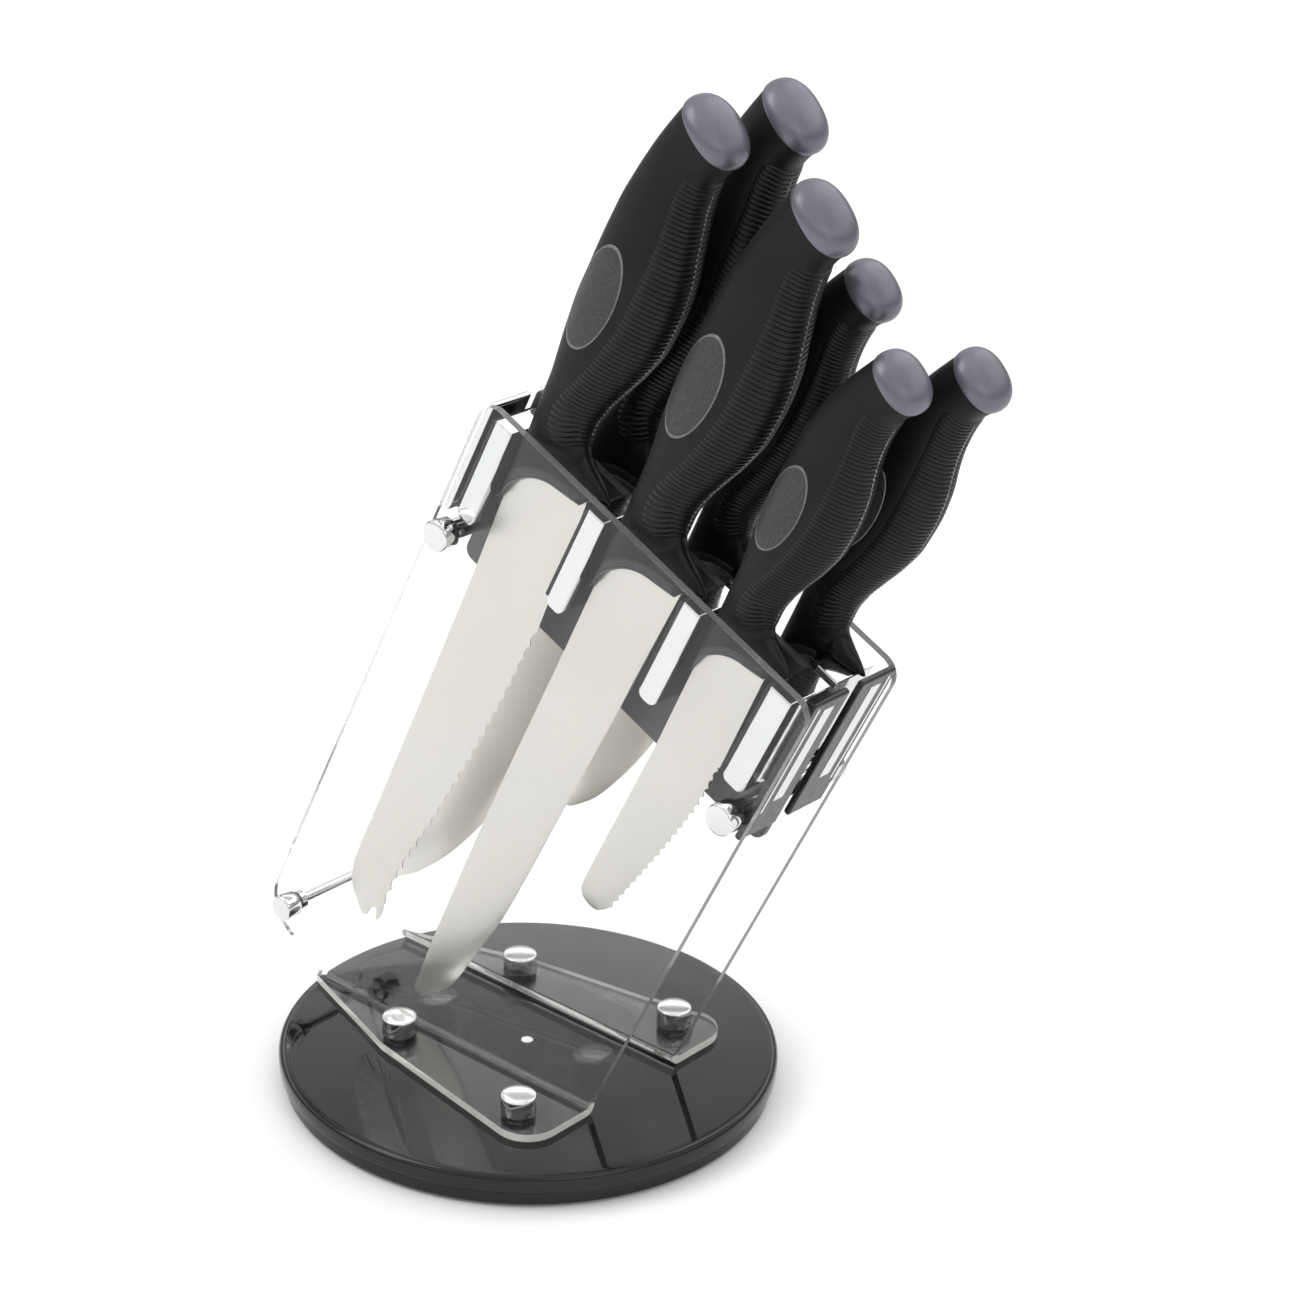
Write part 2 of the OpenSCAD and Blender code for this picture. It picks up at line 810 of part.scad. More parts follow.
// The domed metal end, on the top ring of the handle
module knife_end_cap(i) {
  last = STATIONS[len(STATIONS) - 1];
  centre = (skin(i, last, 0, 0) + skin(i, last, 180, 0)) / 2;
  steps = [[1, 0], [1.03, 0.25], [1.02, 0.45], [0.93, 0.68], [0.72, 0.88], [0.42, 0.98], [0.12, 1]];
  color([0.42, 0.42, 0.46])
    rotate([0, lean, 0])
      polyhedron(
        [
          for (s = steps, j = [0 : ring_n - 1])
            centre + (skin(i, last, ring_angle(j), 0) - centre) * s[0]
            + dome_h * thick_scale(i) * s[1] * [sin(cap_tilt), 0, cos(cap_tilt)]
        ],
        stack_faces(len(steps), ring_n)
      );
}

// Width of a blade at a height, scallops included
function edge_points(i) =
  let (
    table = [for (p = EDGES[i]) [p[1], p[0]]],
    low = EDGES[i][0][1],
    pitch = TEETH[i][0],
    count = pitch > 0 ? floor((comb_top - 36 - low) / pitch) : 0
  )
  pitch > 0
    ? concat(
        [
          for (k = [0 : count - 1], q = [0 : 3])
            let (up = low + (k + q / 4) * pitch)
            [lookup(up, table) - TEETH[i][1] * sin(180 * q / 4), up]
        ],
        [for (p = EDGES[i]) if (p[1] > low + count * pitch + 1 && p[1] < rest_up() - 7) p]
      )
    : [for (p = EDGES[i]) if (p[1] < rest_up() - 7) p];

// Blade outline in the leaning frame: it ends on the under face of its handle
function blade_outline(i) =
  let (
    s = size_scale(i),
    wide = EDGES[i][len(EDGES[i]) - 1][0],
    bottom = [
      for (j = [ring_n / 2 : -1 : 0])
        let (p = skin(i, 0, ring_angle(j), 0))
        [p[0] - spine_of(i), p[2]]
    ]
  )
  concat(
    [for (p = SPINES[i]) [p[0], p[1]]],
    TIPS[i],
    edge_points(i),
    [[wide, lookup(wide, bottom)]],
    [
      for (k = [len(bottom) - 1 : -1 : 0])
        if (bottom[k][0] < wide - 0.2 && bottom[k][0] > 0.2) bottom[k]
    ],
    [[0, lookup(0, bottom)]]
  );

module knife_blade(i) {
  y = side_of(i) * row_y;
  wide = EDGES[i][len(EDGES[i]) - 1][0] + 6;
  color([0.84, 0.83, 0.8]) {
    intersection() {
      side_plate([for (p = blade_outline(i)) [p[0] + spine_of(i), p[1]]], y - blade_t / 2, y + blade_t / 2);
      rotate([0, lean, 0])
        translate([spine_of(i), y, -20])
          linear_extrude(rest_up() + 20)
            polygon([[-1, -blade_t / 2], [wide, -edge_t / 2], [wide, edge_t / 2], [-1, blade_t / 2]]);
    }
    tang(i);
  }
}

module bread_blade() { knife_blade(0); }
module bread_handle() { knife_handle(0); }
module bread_grip() { knife_grip(0); }
module bread_badges() { knife_badges(0); }
module bread_end_cap() { knife_end_cap(0); }
module carving_blade() { knife_blade(1); }
module carving_handle() { knife_handle(1); }
module carving_grip() { knife_grip(1); }
module carving_badges() { knife_badges(1); }
module carving_end_cap() { knife_end_cap(1); }
module utility_blade() { knife_blade(2); }
module utility_handle() { knife_handle(2); }
module utility_grip() { knife_grip(2); }
module utility_badges() { knife_badges(2); }
module utility_end_cap() { knife_end_cap(2); }
module chef_blade() { knife_blade(3); }
module chef_handle() { knife_handle(3); }
module chef_grip() { knife_grip(3); }
module chef_badges() { knife_badges(3); }
module chef_end_cap() { knife_end_cap(3); }
module broad_blade() { knife_blade(4); }
module broad_handle() { knife_handle(4); }
module broad_grip() { knife_grip(4); }
module broad_badges() { knife_badges(4); }
module broad_end_cap() { knife_end_cap(4); }
module paring_blade() { knife_blade(5); }
module paring_handle() { knife_handle(5); }
module paring_grip() { knife_grip(5); }
module paring_badges() { knife_badges(5); }
module paring_end_cap() { knife_end_cap(5); }

lower_disc();
rubber_feet();
centre_pad();
pivot_bolt();
lower_race();
bearing_balls();
top_disc();
upper_race();
pivot_bush();
centre_plug();
near_panel();
far_panel();
flange_screws();
flange_caps();
divider_plate();
near_posts();
far_posts();
near_buffers();
far_buffers();
front_plates();
rear_plates();
holder_rods();
rod_spacers();
rod_caps();
low_rod_bar();
low_rod_caps();
low_rod_collars();
bread_blade();
bread_handle();
bread_grip();
bread_badges();
bread_end_cap();
carving_blade();
carving_handle();
carving_grip();
carving_badges();
carving_end_cap();
utility_blade();
utility_handle();
utility_grip();
utility_badges();
utility_end_cap();
chef_blade();
chef_handle();
chef_grip();
chef_badges();
chef_end_cap();
broad_blade();
broad_handle();
broad_grip();
broad_badges();
broad_end_cap();
paring_blade();
paring_handle();
paring_grip();
paring_badges();
paring_end_cap();
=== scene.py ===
# %% [markdown]
# This lesson dresses a turning knife stand: a glossy black base, two clear
# acrylic panels, a bright holder between them and six knives with soft,
# ribbed handles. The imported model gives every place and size, so the lesson
# starts by loading it as a frame that never moves.

# %% Load the frame
import math

import bmesh
import bpy
from mathutils import Matrix, Vector
from mathutils.bvhtree import BVHTree
from mathutils.geometry import delaunay_2d_cdt


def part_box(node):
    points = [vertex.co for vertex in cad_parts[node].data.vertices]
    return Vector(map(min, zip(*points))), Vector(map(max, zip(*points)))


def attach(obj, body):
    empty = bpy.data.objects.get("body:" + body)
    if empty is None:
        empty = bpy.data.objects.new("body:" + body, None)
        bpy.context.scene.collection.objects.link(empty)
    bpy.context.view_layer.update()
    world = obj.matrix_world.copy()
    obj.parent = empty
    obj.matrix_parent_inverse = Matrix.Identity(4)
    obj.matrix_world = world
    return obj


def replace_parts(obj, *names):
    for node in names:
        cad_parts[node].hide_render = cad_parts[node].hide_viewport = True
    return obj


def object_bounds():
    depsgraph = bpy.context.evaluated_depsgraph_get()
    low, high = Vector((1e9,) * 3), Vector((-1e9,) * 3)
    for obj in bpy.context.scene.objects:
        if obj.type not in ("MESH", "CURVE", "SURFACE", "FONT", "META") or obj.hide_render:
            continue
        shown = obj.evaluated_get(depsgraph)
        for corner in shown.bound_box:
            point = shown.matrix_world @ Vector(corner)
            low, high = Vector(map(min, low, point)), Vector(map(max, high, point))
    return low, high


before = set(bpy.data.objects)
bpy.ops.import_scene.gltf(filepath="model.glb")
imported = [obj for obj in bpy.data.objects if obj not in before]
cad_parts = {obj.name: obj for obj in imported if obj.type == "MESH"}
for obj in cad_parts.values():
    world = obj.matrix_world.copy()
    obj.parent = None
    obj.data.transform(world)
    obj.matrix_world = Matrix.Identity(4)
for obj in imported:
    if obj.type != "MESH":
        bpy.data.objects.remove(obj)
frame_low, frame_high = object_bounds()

print("frame from", tuple(frame_low), "to", tuple(frame_high))

# %% [markdown]
# The stand leans: its panels, posts and knives all tip forward by the same
# angle. Working in a leaning side view, with one length along the stand and
# one up it, keeps every outline square and simple. One helper turns such a
# point into the upright world, in metres.

# %% The leaning side view
MM = 0.001
LEAN = math.radians(25.8)


def lean_point(along, across, up):
    x = along * math.cos(LEAN) + up * math.sin(LEAN)
    z = up * math.cos(LEAN) - along * math.sin(LEAN)
    return Vector((x, across, z)) * MM


print("a point 230 mm up the lean stands at", tuple(lean_point(0, 0, 230)))

# %% [markdown]
# A finish here is a Principled shader whose colour, roughness or bump comes
# from a pattern, mostly noise, because no real surface is one flat value.
# Values that are the same all over sit on the shader itself. These helpers
# read the pattern in metres on the piece, so the grain has its real size on
# large and small pieces alike.

# %% Helpers for finishes
def new_finish(name, colour, roughness, metal=0.0, **more):
    finish = bpy.data.materials.new(name)
    finish.use_nodes = True
    shader = finish.node_tree.nodes["Principled BSDF"]
    shader.inputs["Base Color"].default_value = (*colour, 1.0)
    shader.inputs["Roughness"].default_value = roughness
    shader.inputs["Metallic"].default_value = metal
    for socket, value in more.items():
        shader.inputs[socket.replace("_", " ")].default_value = value
    return finish


def grain(finish, scale, detail=3.0, stretch=(1.0, 1.0, 1.0)):
    nodes, links = finish.node_tree.nodes, finish.node_tree.links
    place = nodes.new("ShaderNodeTexCoord")
    turn = nodes.new("ShaderNodeMapping")
    turn.vector_type = "TEXTURE"
    turn.inputs["Rotation"].default_value = (0.0, LEAN, 0.0)
    turn.inputs["Scale"].default_value = stretch
    noise = nodes.new("ShaderNodeTexNoise")
    noise.inputs["Scale"].default_value = scale
    noise.inputs["Detail"].default_value = detail
    links.new(place.outputs["Object"], turn.inputs["Vector"])
    links.new(turn.outputs["Vector"], noise.inputs["Vector"])
    return noise.outputs["Fac"]


def spread(finish, source, low, high, start=0.35, end=0.65):
    reach = finish.node_tree.nodes.new("ShaderNodeMapRange")
    reach.inputs["From Min"].default_value = start
    reach.inputs["From Max"].default_value = end
    reach.inputs["To Min"].default_value = low
    reach.inputs["To Max"].default_value = high
    finish.node_tree.links.new(source, reach.inputs["Value"])
    return reach.outputs["Result"]


def vary_roughness(finish, source, low, high):
    shader = finish.node_tree.nodes["Principled BSDF"]
    finish.node_tree.links.new(spread(finish, source, low, high), shader.inputs["Roughness"])


def vary_colour(finish, source, dark, light, start=0.35, end=0.65):
    shader = finish.node_tree.nodes["Principled BSDF"]
    ramp = finish.node_tree.nodes.new("ShaderNodeValToRGB")
    ramp.color_ramp.elements[0].position = start
    ramp.color_ramp.elements[0].color = (*dark, 1.0)
    ramp.color_ramp.elements[1].position = end
    ramp.color_ramp.elements[1].color = (*light, 1.0)
    finish.node_tree.links.new(source, ramp.inputs["Fac"])
    finish.node_tree.links.new(ramp.outputs["Color"], shader.inputs["Base Color"])


def add_bump(finish, source, depth, strength=0.5):
    shader = finish.node_tree.nodes["Principled BSDF"]
    bump = finish.node_tree.nodes.new("ShaderNodeBump")
    bump.inputs["Distance"].default_value = depth
    bump.inputs["Strength"].default_value = strength
    finish.node_tree.links.new(source, bump.inputs["Height"])
    finish.node_tree.links.new(bump.outputs["Normal"], shader.inputs["Normal"])


print("the helpers for finishes are ready")

# %% [markdown]
# The base is two discs of glossy black plastic. Deep gloss hides almost all
# of the plastic's own colour and shows the room instead, so the finish is
# nearly black with very low roughness. A slow noise in the roughness gives
# the faint smears that handled gloss always has.

# %% Gloss black
gloss_black = new_finish("gloss_black", (0.006, 0.006, 0.007), 0.03, IOR=1.42)
vary_colour(gloss_black, grain(gloss_black, 30), (0.004, 0.004, 0.0045), (0.008, 0.008, 0.009))
vary_roughness(gloss_black, grain(gloss_black, 55, 6), 0.015, 0.06)
print("made", gloss_black.name)

# %% [markdown]
# Rubber, steel, brass and the moulded plastics are mostly hidden or small,
# but each one still gets its own grain: a dusty bloom on rubber, turning
# marks on steel, a mottled polish on brass and a fine texture on plastic.

# %% Rubber, steel, brass and small plastics
foot_rubber = new_finish("foot_rubber", (0.02, 0.02, 0.02), 0.8)
vary_colour(foot_rubber, grain(foot_rubber, 400), (0.014, 0.014, 0.014), (0.032, 0.032, 0.03))
add_bump(foot_rubber, grain(foot_rubber, 2500), 0.0001)

turned_steel = new_finish("turned_steel", (0.6, 0.6, 0.62), 0.25, 1.0)
vary_colour(turned_steel, grain(turned_steel, 300), (0.5, 0.5, 0.52), (0.66, 0.66, 0.68))
vary_roughness(turned_steel, grain(turned_steel, 900, 3, (1, 1, 20)), 0.16, 0.34)

bearing_brass = new_finish("bearing_brass", (0.7, 0.52, 0.24), 0.3, 1.0)
vary_colour(bearing_brass, grain(bearing_brass, 300), (0.58, 0.42, 0.18), (0.74, 0.56, 0.28))
vary_roughness(bearing_brass, grain(bearing_brass, 900), 0.2, 0.4)

plug_plastic = new_finish("plug_plastic", (0.85, 0.85, 0.82), 0.35)
vary_colour(plug_plastic, grain(plug_plastic, 500), (0.8, 0.8, 0.77), (0.88, 0.88, 0.86))
add_bump(plug_plastic, grain(plug_plastic, 3000), 0.00004)

holder_grey = new_finish("holder_grey", (0.062, 0.062, 0.064), 0.42)
vary_colour(holder_grey, grain(holder_grey, 120), (0.056, 0.056, 0.058), (0.068, 0.068, 0.07))
add_bump(holder_grey, grain(holder_grey, 3500, 2), 0.00006)

holder_black = new_finish("holder_black", (0.01, 0.01, 0.011), 0.25)
vary_colour(holder_black, grain(holder_black, 60), (0.008, 0.008, 0.009), (0.013, 0.013, 0.014))
vary_roughness(holder_black, grain(holder_black, 300), 0.18, 0.3)

strip_rubber = new_finish("strip_rubber", (0.012, 0.012, 0.012), 0.6)
vary_colour(strip_rubber, grain(strip_rubber, 300), (0.008, 0.008, 0.008), (0.018, 0.018, 0.018))
add_bump(strip_rubber, grain(strip_rubber, 2800), 0.00006)
print("made", foot_rubber.name, turned_steel.name, bearing_brass.name, plug_plastic.name)

# %% [markdown]
# The posts and caps are chromed. Chrome is a near-perfect mirror, so its
# look is the room's. A trace of noise in the roughness keeps the mirror
# from looking drawn, and the colour stays a touch cool.

# %% Chrome
bright_chrome = new_finish("bright_chrome", (0.72, 0.725, 0.73), 0.05, 1.0)
vary_roughness(bright_chrome, grain(bright_chrome, 260, 4), 0.03, 0.1)
add_bump(bright_chrome, grain(bright_chrome, 90, 1), 0.0002, 0.12)
print("made", bright_chrome.name)

# %% [markdown]
# The clear panels are glass-like acrylic. A refracting surface stops lamps
# from lighting what is behind it, so rays that look for lamps pass straight
# through instead. Cut edges gather light from the whole sheet and look pale.
# That light is painted into two edge finishes of their own: a milky pale one
# for the foot's edge, which lies on the dark base, and a clearer pale grey
# one for the wall's edges.

# %% Clear acrylic
def let_lamps_through(finish):
    nodes, links = finish.node_tree.nodes, finish.node_tree.links
    path = nodes.new("ShaderNodeLightPath")
    clear = nodes.new("ShaderNodeBsdfTransparent")
    mix = nodes.new("ShaderNodeMixShader")
    links.new(path.outputs["Is Shadow Ray"], mix.inputs["Fac"])
    links.new(nodes["Principled BSDF"].outputs["BSDF"], mix.inputs[1])
    links.new(clear.outputs["BSDF"], mix.inputs[2])
    links.new(mix.outputs["Shader"], nodes["Material Output"].inputs["Surface"])


clear_acrylic = new_finish("clear_acrylic", (1.0, 1.0, 1.0), 0.0, IOR=1.3, Transmission_Weight=1.0)
vary_colour(clear_acrylic, grain(clear_acrylic, 20), (0.985, 0.99, 0.99), (1.0, 1.0, 1.0))
vary_roughness(clear_acrylic, grain(clear_acrylic, 35, 5), 0.0, 0.02)
let_lamps_through(clear_acrylic)

# The foot's cut edge: a pale cream colour painted in for the light that the sheet gathers and sends out
# there.
foot_edge_painted_light = new_finish("foot_edge_painted_light", (0.93, 0.92, 0.86), 0.12, IOR=1.3, Transmission_Weight=0.25)
vary_colour(foot_edge_painted_light, grain(foot_edge_painted_light, 140, 3), (0.86, 0.85, 0.78), (0.97, 0.96, 0.92))
vary_roughness(foot_edge_painted_light, grain(foot_edge_painted_light, 1500), 0.08, 0.22)
let_lamps_through(foot_edge_painted_light)

# The wall's cut edges: a paler grey painted in for the same gathered light.
wall_edge_painted_light = new_finish("wall_edge_painted_light", (0.88, 0.88, 0.85), 0.05, IOR=1.28, Transmission_Weight=0.78)
vary_colour(wall_edge_painted_light, grain(wall_edge_painted_light, 140, 3), (0.8, 0.8, 0.77), (0.88, 0.88, 0.85))
vary_roughness(wall_edge_painted_light, grain(wall_edge_painted_light, 1500), 0.03, 0.12)
let_lamps_through(wall_edge_painted_light)
print("made", clear_acrylic.name, foot_edge_painted_light.name, wall_edge_painted_light.name)

# %% [markdown]
# The blades are satin steel with a warm tone. A grinding belt leaves very
# fine lines across a blade, so the noise is stretched that way until it
# turns into lines, and it drives both the roughness and a shallow bump.

# %% Satin blade steel
blade_satin = new_finish("blade_satin", (0.68, 0.66, 0.615), 0.3, 1.0)
belt_lines = grain(blade_satin, 3200, 2, (40, 1, 1))
vary_colour(blade_satin, grain(blade_satin, 14, 2), (0.655, 0.635, 0.59), (0.68, 0.662, 0.62))
vary_roughness(blade_satin, belt_lines, 0.29, 0.36)
add_bump(blade_satin, belt_lines, 0.0000015, 0.3)
print("made", blade_satin.name)

# %% [markdown]
# The handles are charcoal plastic with a soft-touch skin. Soft touch has a
# very fine pebble, a broad dull shine and a little sheen at the rim of each
# curve. The guard near the blade is handled most and is smoother, so the
# mesh will carry a painted value that lowers the roughness there.

# %% Soft-touch charcoal
soft_charcoal = new_finish(
    "soft_charcoal", (0.01, 0.01, 0.0105), 0.5, Sheen_Weight=0.02, Sheen_Roughness=0.4, Specular_IOR_Level=0.2
)
vary_colour(soft_charcoal, grain(soft_charcoal, 70, 3), (0.0045, 0.0045, 0.0048), (0.0066, 0.0066, 0.007))
add_bump(soft_charcoal, grain(soft_charcoal, 4200, 2), 0.00005, 0.5)
shader = soft_charcoal.node_tree.nodes["Principled BSDF"]
polish = soft_charcoal.node_tree.nodes.new("ShaderNodeAttribute")
polish.attribute_name = "polish"
soft_charcoal.node_tree.links.new(
    spread(soft_charcoal, polish.outputs["Fac"], 0.5, 0.27, 0.0, 1.0), shader.inputs["Roughness"]
)

ribbed_black = new_finish("ribbed_black", (0.004, 0.004, 0.0044), 0.42, Specular_IOR_Level=0.3)
vary_colour(ribbed_black, grain(ribbed_black, 300, 3), (0.003, 0.003, 0.0033), (0.005, 0.005, 0.0055))
vary_roughness(ribbed_black, grain(ribbed_black, 2500), 0.3, 0.44)

seam_grey = new_finish("seam_grey", (0.2, 0.2, 0.205), 0.4)
vary_colour(seam_grey, grain(seam_grey, 1400, 2), (0.05, 0.05, 0.052), (0.36, 0.36, 0.37))

arch_grey = new_finish("arch_grey", (0.04, 0.04, 0.042), 0.33, Specular_IOR_Level=0.35)
vary_colour(arch_grey, grain(arch_grey, 200), (0.024, 0.024, 0.025), (0.032, 0.032, 0.0335))
vary_roughness(arch_grey, grain(arch_grey, 1500), 0.28, 0.4)

rim_silver = new_finish("rim_silver", (0.2, 0.2, 0.207), 0.32, 0.3)
vary_colour(rim_silver, grain(rim_silver, 600), (0.12, 0.12, 0.124), (0.165, 0.165, 0.17))
print("made", soft_charcoal.name, ribbed_black.name, arch_grey.name, rim_silver.name)

# %% [markdown]
# Each handle ends in a domed cap with a satin, slightly violet metal look,
# and wears an oval inlay on both sides. The inlay on the real knife is
# struck with a fine stipple, made here with a cell pattern in the bump.

# %% Satin caps and stippled inlays
satin_lilac = new_finish("satin_lilac", (0.155, 0.152, 0.18), 0.36, 0.55)
vary_colour(satin_lilac, grain(satin_lilac, 60, 2), (0.142, 0.14, 0.168), (0.168, 0.165, 0.195))
vary_roughness(satin_lilac, grain(satin_lilac, 1800), 0.3, 0.44)
add_bump(satin_lilac, grain(satin_lilac, 5000, 2), 0.00002, 0.4)

inlay_grey = new_finish("inlay_grey", (0.06, 0.06, 0.061), 0.42, 0.1, Specular_IOR_Level=0.3)
stipple = inlay_grey.node_tree.nodes.new("ShaderNodeTexVoronoi")
stipple.inputs["Scale"].default_value = 1500
stipple_place = inlay_grey.node_tree.nodes.new("ShaderNodeTexCoord")
inlay_grey.node_tree.links.new(stipple_place.outputs["Object"], stipple.inputs["Vector"])
vary_colour(inlay_grey, stipple.outputs["Distance"], (0.062, 0.062, 0.064), (0.034, 0.034, 0.035), 0.1, 0.7)
add_bump(inlay_grey, stipple.outputs["Distance"], 0.00012, 0.6)
print("made", satin_lilac.name, inlay_grey.name)

# %% [markdown]
# Most pieces are made from a list of points and faces, so one helper turns
# such lists into an object, points every face outward, marks the edges that
# should stay crisp and lets the piece ride on its body in the frame. Others
# join several lists into one, and join rows of points into faces, round a
# ring or over a grid. The last one rounds sharp edges with a narrow bevel
# and keeps the flat faces between them evenly shaded.

# %% From points and faces to a piece
def make_piece(name, shell, finish, body, crisp=35):
    points, faces = shell
    mesh = bpy.data.meshes.new(name)
    mesh.from_pydata([tuple(p) for p in points], [], faces)
    mesh.update()
    net = bmesh.new()
    net.from_mesh(mesh)
    bmesh.ops.recalc_face_normals(net, faces=net.faces)
    net.to_mesh(mesh)
    net.free()
    mesh.materials.append(finish)
    mesh.shade_smooth()
    mesh.set_sharp_from_angle(angle=math.radians(crisp))
    piece = bpy.data.objects.new(name, mesh)
    bpy.context.scene.collection.objects.link(piece)
    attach(piece, body)
    return piece


def gather(shells):
    points, faces = [], []
    for more_points, more_faces in shells:
        start = len(points)
        points += list(more_points)
        faces += [tuple(start + k for k in face) for face in more_faces]
    return points, faces


def join_rows(rows, steps, ring=False):
    faces = []
    pairs = list(zip(rows, rows[1:])) + ([(rows[-1], rows[0])] if ring else [])
    for low, high in pairs:
        for k in range(steps):
            a, b = low[k % len(low)], low[(k + 1) % len(low)]
            c, d = high[(k + 1) % len(high)], high[k % len(high)]
            faces.append(tuple(dict.fromkeys((a, b, c, d))))
    return [f for f in faces if len(f) > 2]


def grid_faces(rows, columns):
    faces = []
    for r in range(rows):
        for c in range(columns):
            a = r * (columns + 1) + c
            faces.append((a, a + 1, a + columns + 2, a + columns + 1))
    return faces


def soften(piece, width, steps=2, angle=38):
    bevel = piece.modifiers.new("soft_edges", "BEVEL")
    bevel.width = width * MM
    bevel.segments = steps
    bevel.limit_method = "ANGLE"
    bevel.angle_limit = math.radians(angle)
    flat = piece.modifiers.new("flat_shading", "WEIGHTED_NORMAL")
    flat.keep_sharp = True
    flat.weight = 100
    return piece


print("the helpers for pieces are ready")

# %% [markdown]
# Discs, feet, caps and rods are all turned shapes: half a section, spun
# round an axis. A section whose ends lie on the axis closes by itself, and
# a ring closes back on its own start. Many steps keep the mirror finishes
# free of facets.

# %% The turning helper
def turned(section, centre, axis, steps=96, ring=False):
    axis = Vector(axis).normalized()
    side = axis.orthogonal().normalized()
    other = axis.cross(side)
    points, rows = [], []
    for radius, height in section:
        row = []
        for k in range(steps if radius > 1e-6 else 1):
            turn = 2 * math.pi * k / steps
            out = side * math.cos(turn) + other * math.sin(turn)
            row.append(len(points))
            points.append(Vector(centre) + (out * radius + axis * height) * MM)
        rows.append(row)
    return points, join_rows(rows, steps, ring)


def round_corner(centre, radius, start, end, steps=6):
    return [
        (
            centre[0] + radius * math.cos(math.radians(start + (end - start) * k / steps)),
            centre[1] + radius * math.sin(math.radians(start + (end - start) * k / steps)),
        )
        for k in range(steps + 1)
    ]


UPRIGHT = (0, 0, 1)
SIDEWAYS = (0, 1, 0)
print("the turning helper is ready")

# %% [markdown]
# The turning disc is 180 mm across and 6.6 mm thick with a rounded upper
# rim. The fixed disc under it is a little smaller, and a thin dark seam
# between them lets the stand turn. Both discs come from their CAD boxes, so
# their radii are measured and not typed.

# %% The two discs
def half_width(node):
    low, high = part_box(node)
    return (high.x - low.x) / 2 / MM


def disc_section(node, rim, under_rim):
    low, high = (corner.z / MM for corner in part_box(node))
    edge = half_width(node)
    return (
        [(0, low), (edge - under_rim, low)]
        + round_corner((edge - under_rim, low + under_rim), under_rim, -90, 0, 4)
        + round_corner((edge - rim, high - rim), rim, 0, 90, 10)
        + [(edge - rim - 1, high), (0, high)]
    )


top_disc = make_piece(
    "turning_disc", turned(disc_section("top_disc", 2.4, 0.8), (0, 0, 0), UPRIGHT, 256),
    gloss_black, "stand", 60,
)
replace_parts(top_disc, "top_disc")
low_disc = make_piece(
    "fixed_disc", turned(disc_section("lower_disc", 0.9, 0.9), (0, 0, 0), UPRIGHT, 256),
    gloss_black, "base", 60,
)
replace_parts(low_disc, "lower_disc")
print("discs of radius", half_width("top_disc"), "and", half_width("lower_disc"))

# %% [markdown]
# Six rubber feet and a centre pad carry the stand, and a pin with a ring of
# balls lets it turn. The feet are soft turned buttons. The pin, races,
# balls and bush keep their exact CAD shapes, because a bearing is all about
# exact fits, and only take a proper finish.

# %% Feet and bearing
foot_low, foot_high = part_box("rubber_feet")
foot_ring = half_width("lower_disc") - 12
foot_button = (
    [(0, 0), (5.2, 0)] + round_corner((5.4, 0.5), 0.5, -90, 0, 4)
    + [(6, (foot_high.z - foot_low.z) / MM), (0, (foot_high.z - foot_low.z) / MM)]
)
feet = []
for k in range(6):
    turn = math.radians(60 * k)
    spot = Vector((math.cos(turn), math.sin(turn), 0)) * foot_ring * MM
    feet.append(turned(foot_button, spot, UPRIGHT, 48))
rubber_buttons = make_piece("rubber_buttons", gather(feet), foot_rubber, "base")
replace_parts(rubber_buttons, "rubber_feet")


def dress(node, finish):
    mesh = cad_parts[node].data
    mesh.materials.clear()
    mesh.materials.append(finish)


for node, finish in {
    "centre_pad": foot_rubber, "pivot_bolt": turned_steel, "lower_race": turned_steel,
    "bearing_balls": turned_steel, "upper_race": turned_steel, "pivot_bush": bearing_brass,
    "flange_screws": turned_steel,
}.items():
    dress(node, finish)

plug_low, plug_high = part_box("centre_plug")
plug_reach = (plug_high.x - plug_low.x) / 2 / MM
plug_top = (plug_high.z - plug_low.z) / MM
plug_section = (
    [(0, 0), (plug_reach, 0), (plug_reach, plug_top - 0.3)]
    + round_corner((plug_reach - 0.5, plug_top - 0.5), 0.5, 0, 90, 4) + [(0, plug_top + 0.1)]
)
centre_button = make_piece(
    "centre_button", turned(plug_section, (0, 0, plug_low.z), UPRIGHT, 48),
    plug_plastic, "stand",
)
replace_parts(centre_button, "centre_plug")
print("six feet, one plug of radius", round(plug_reach, 2))

# %% [markdown]
# The two panels are each one sheet of 3 mm acrylic, cut flat and then bent
# along one line near the foot. So each is made the way the maker does it: a
# flat outline first, then a fold. The flat sheet is cut into triangles with
# extra rows where the bend will be, every point is moved to its folded
# place, and the cut edges get their own faces. Triangles outside the
# outline, as in a notch, or inside a hole are left out.

# %% Outline helpers
def toward(a, b):
    return (b - a).normalized()


def rounded_outline(points, radii, steps=10):
    outline = []
    for k, (point, radius) in enumerate(zip(points, radii)):
        b = Vector(point)
        if radius < 0.01:
            outline.append(tuple(b))
            continue
        u = toward(b, Vector(points[k - 1]))
        v = toward(b, Vector(points[(k + 1) % len(points)]))
        half = math.acos(max(-1, min(1, u.dot(v)))) / 2
        middle = b + (u + v).normalized() * radius / math.sin(half)
        first = b + u * radius / math.tan(half) - middle
        last = b + v * radius / math.tan(half) - middle
        turn = math.atan2(first.x * last.y - first.y * last.x, first.dot(last))
        start = math.atan2(first.y, first.x)
        for s in range(steps + 1):
            angle = start + turn * s / steps
            outline.append((middle.x + radius * math.cos(angle), middle.y + radius * math.sin(angle)))
    return outline


def inside_loop(loop, point):
    hit = False
    for a, b in zip(loop, loop[1:] + loop[:1]):
        if (a.y > point.y) != (b.y > point.y):
            if point.x < (b.x - a.x) * (point.y - a.y) / (b.y - a.y) + a.x:
                hit = not hit
    return hit


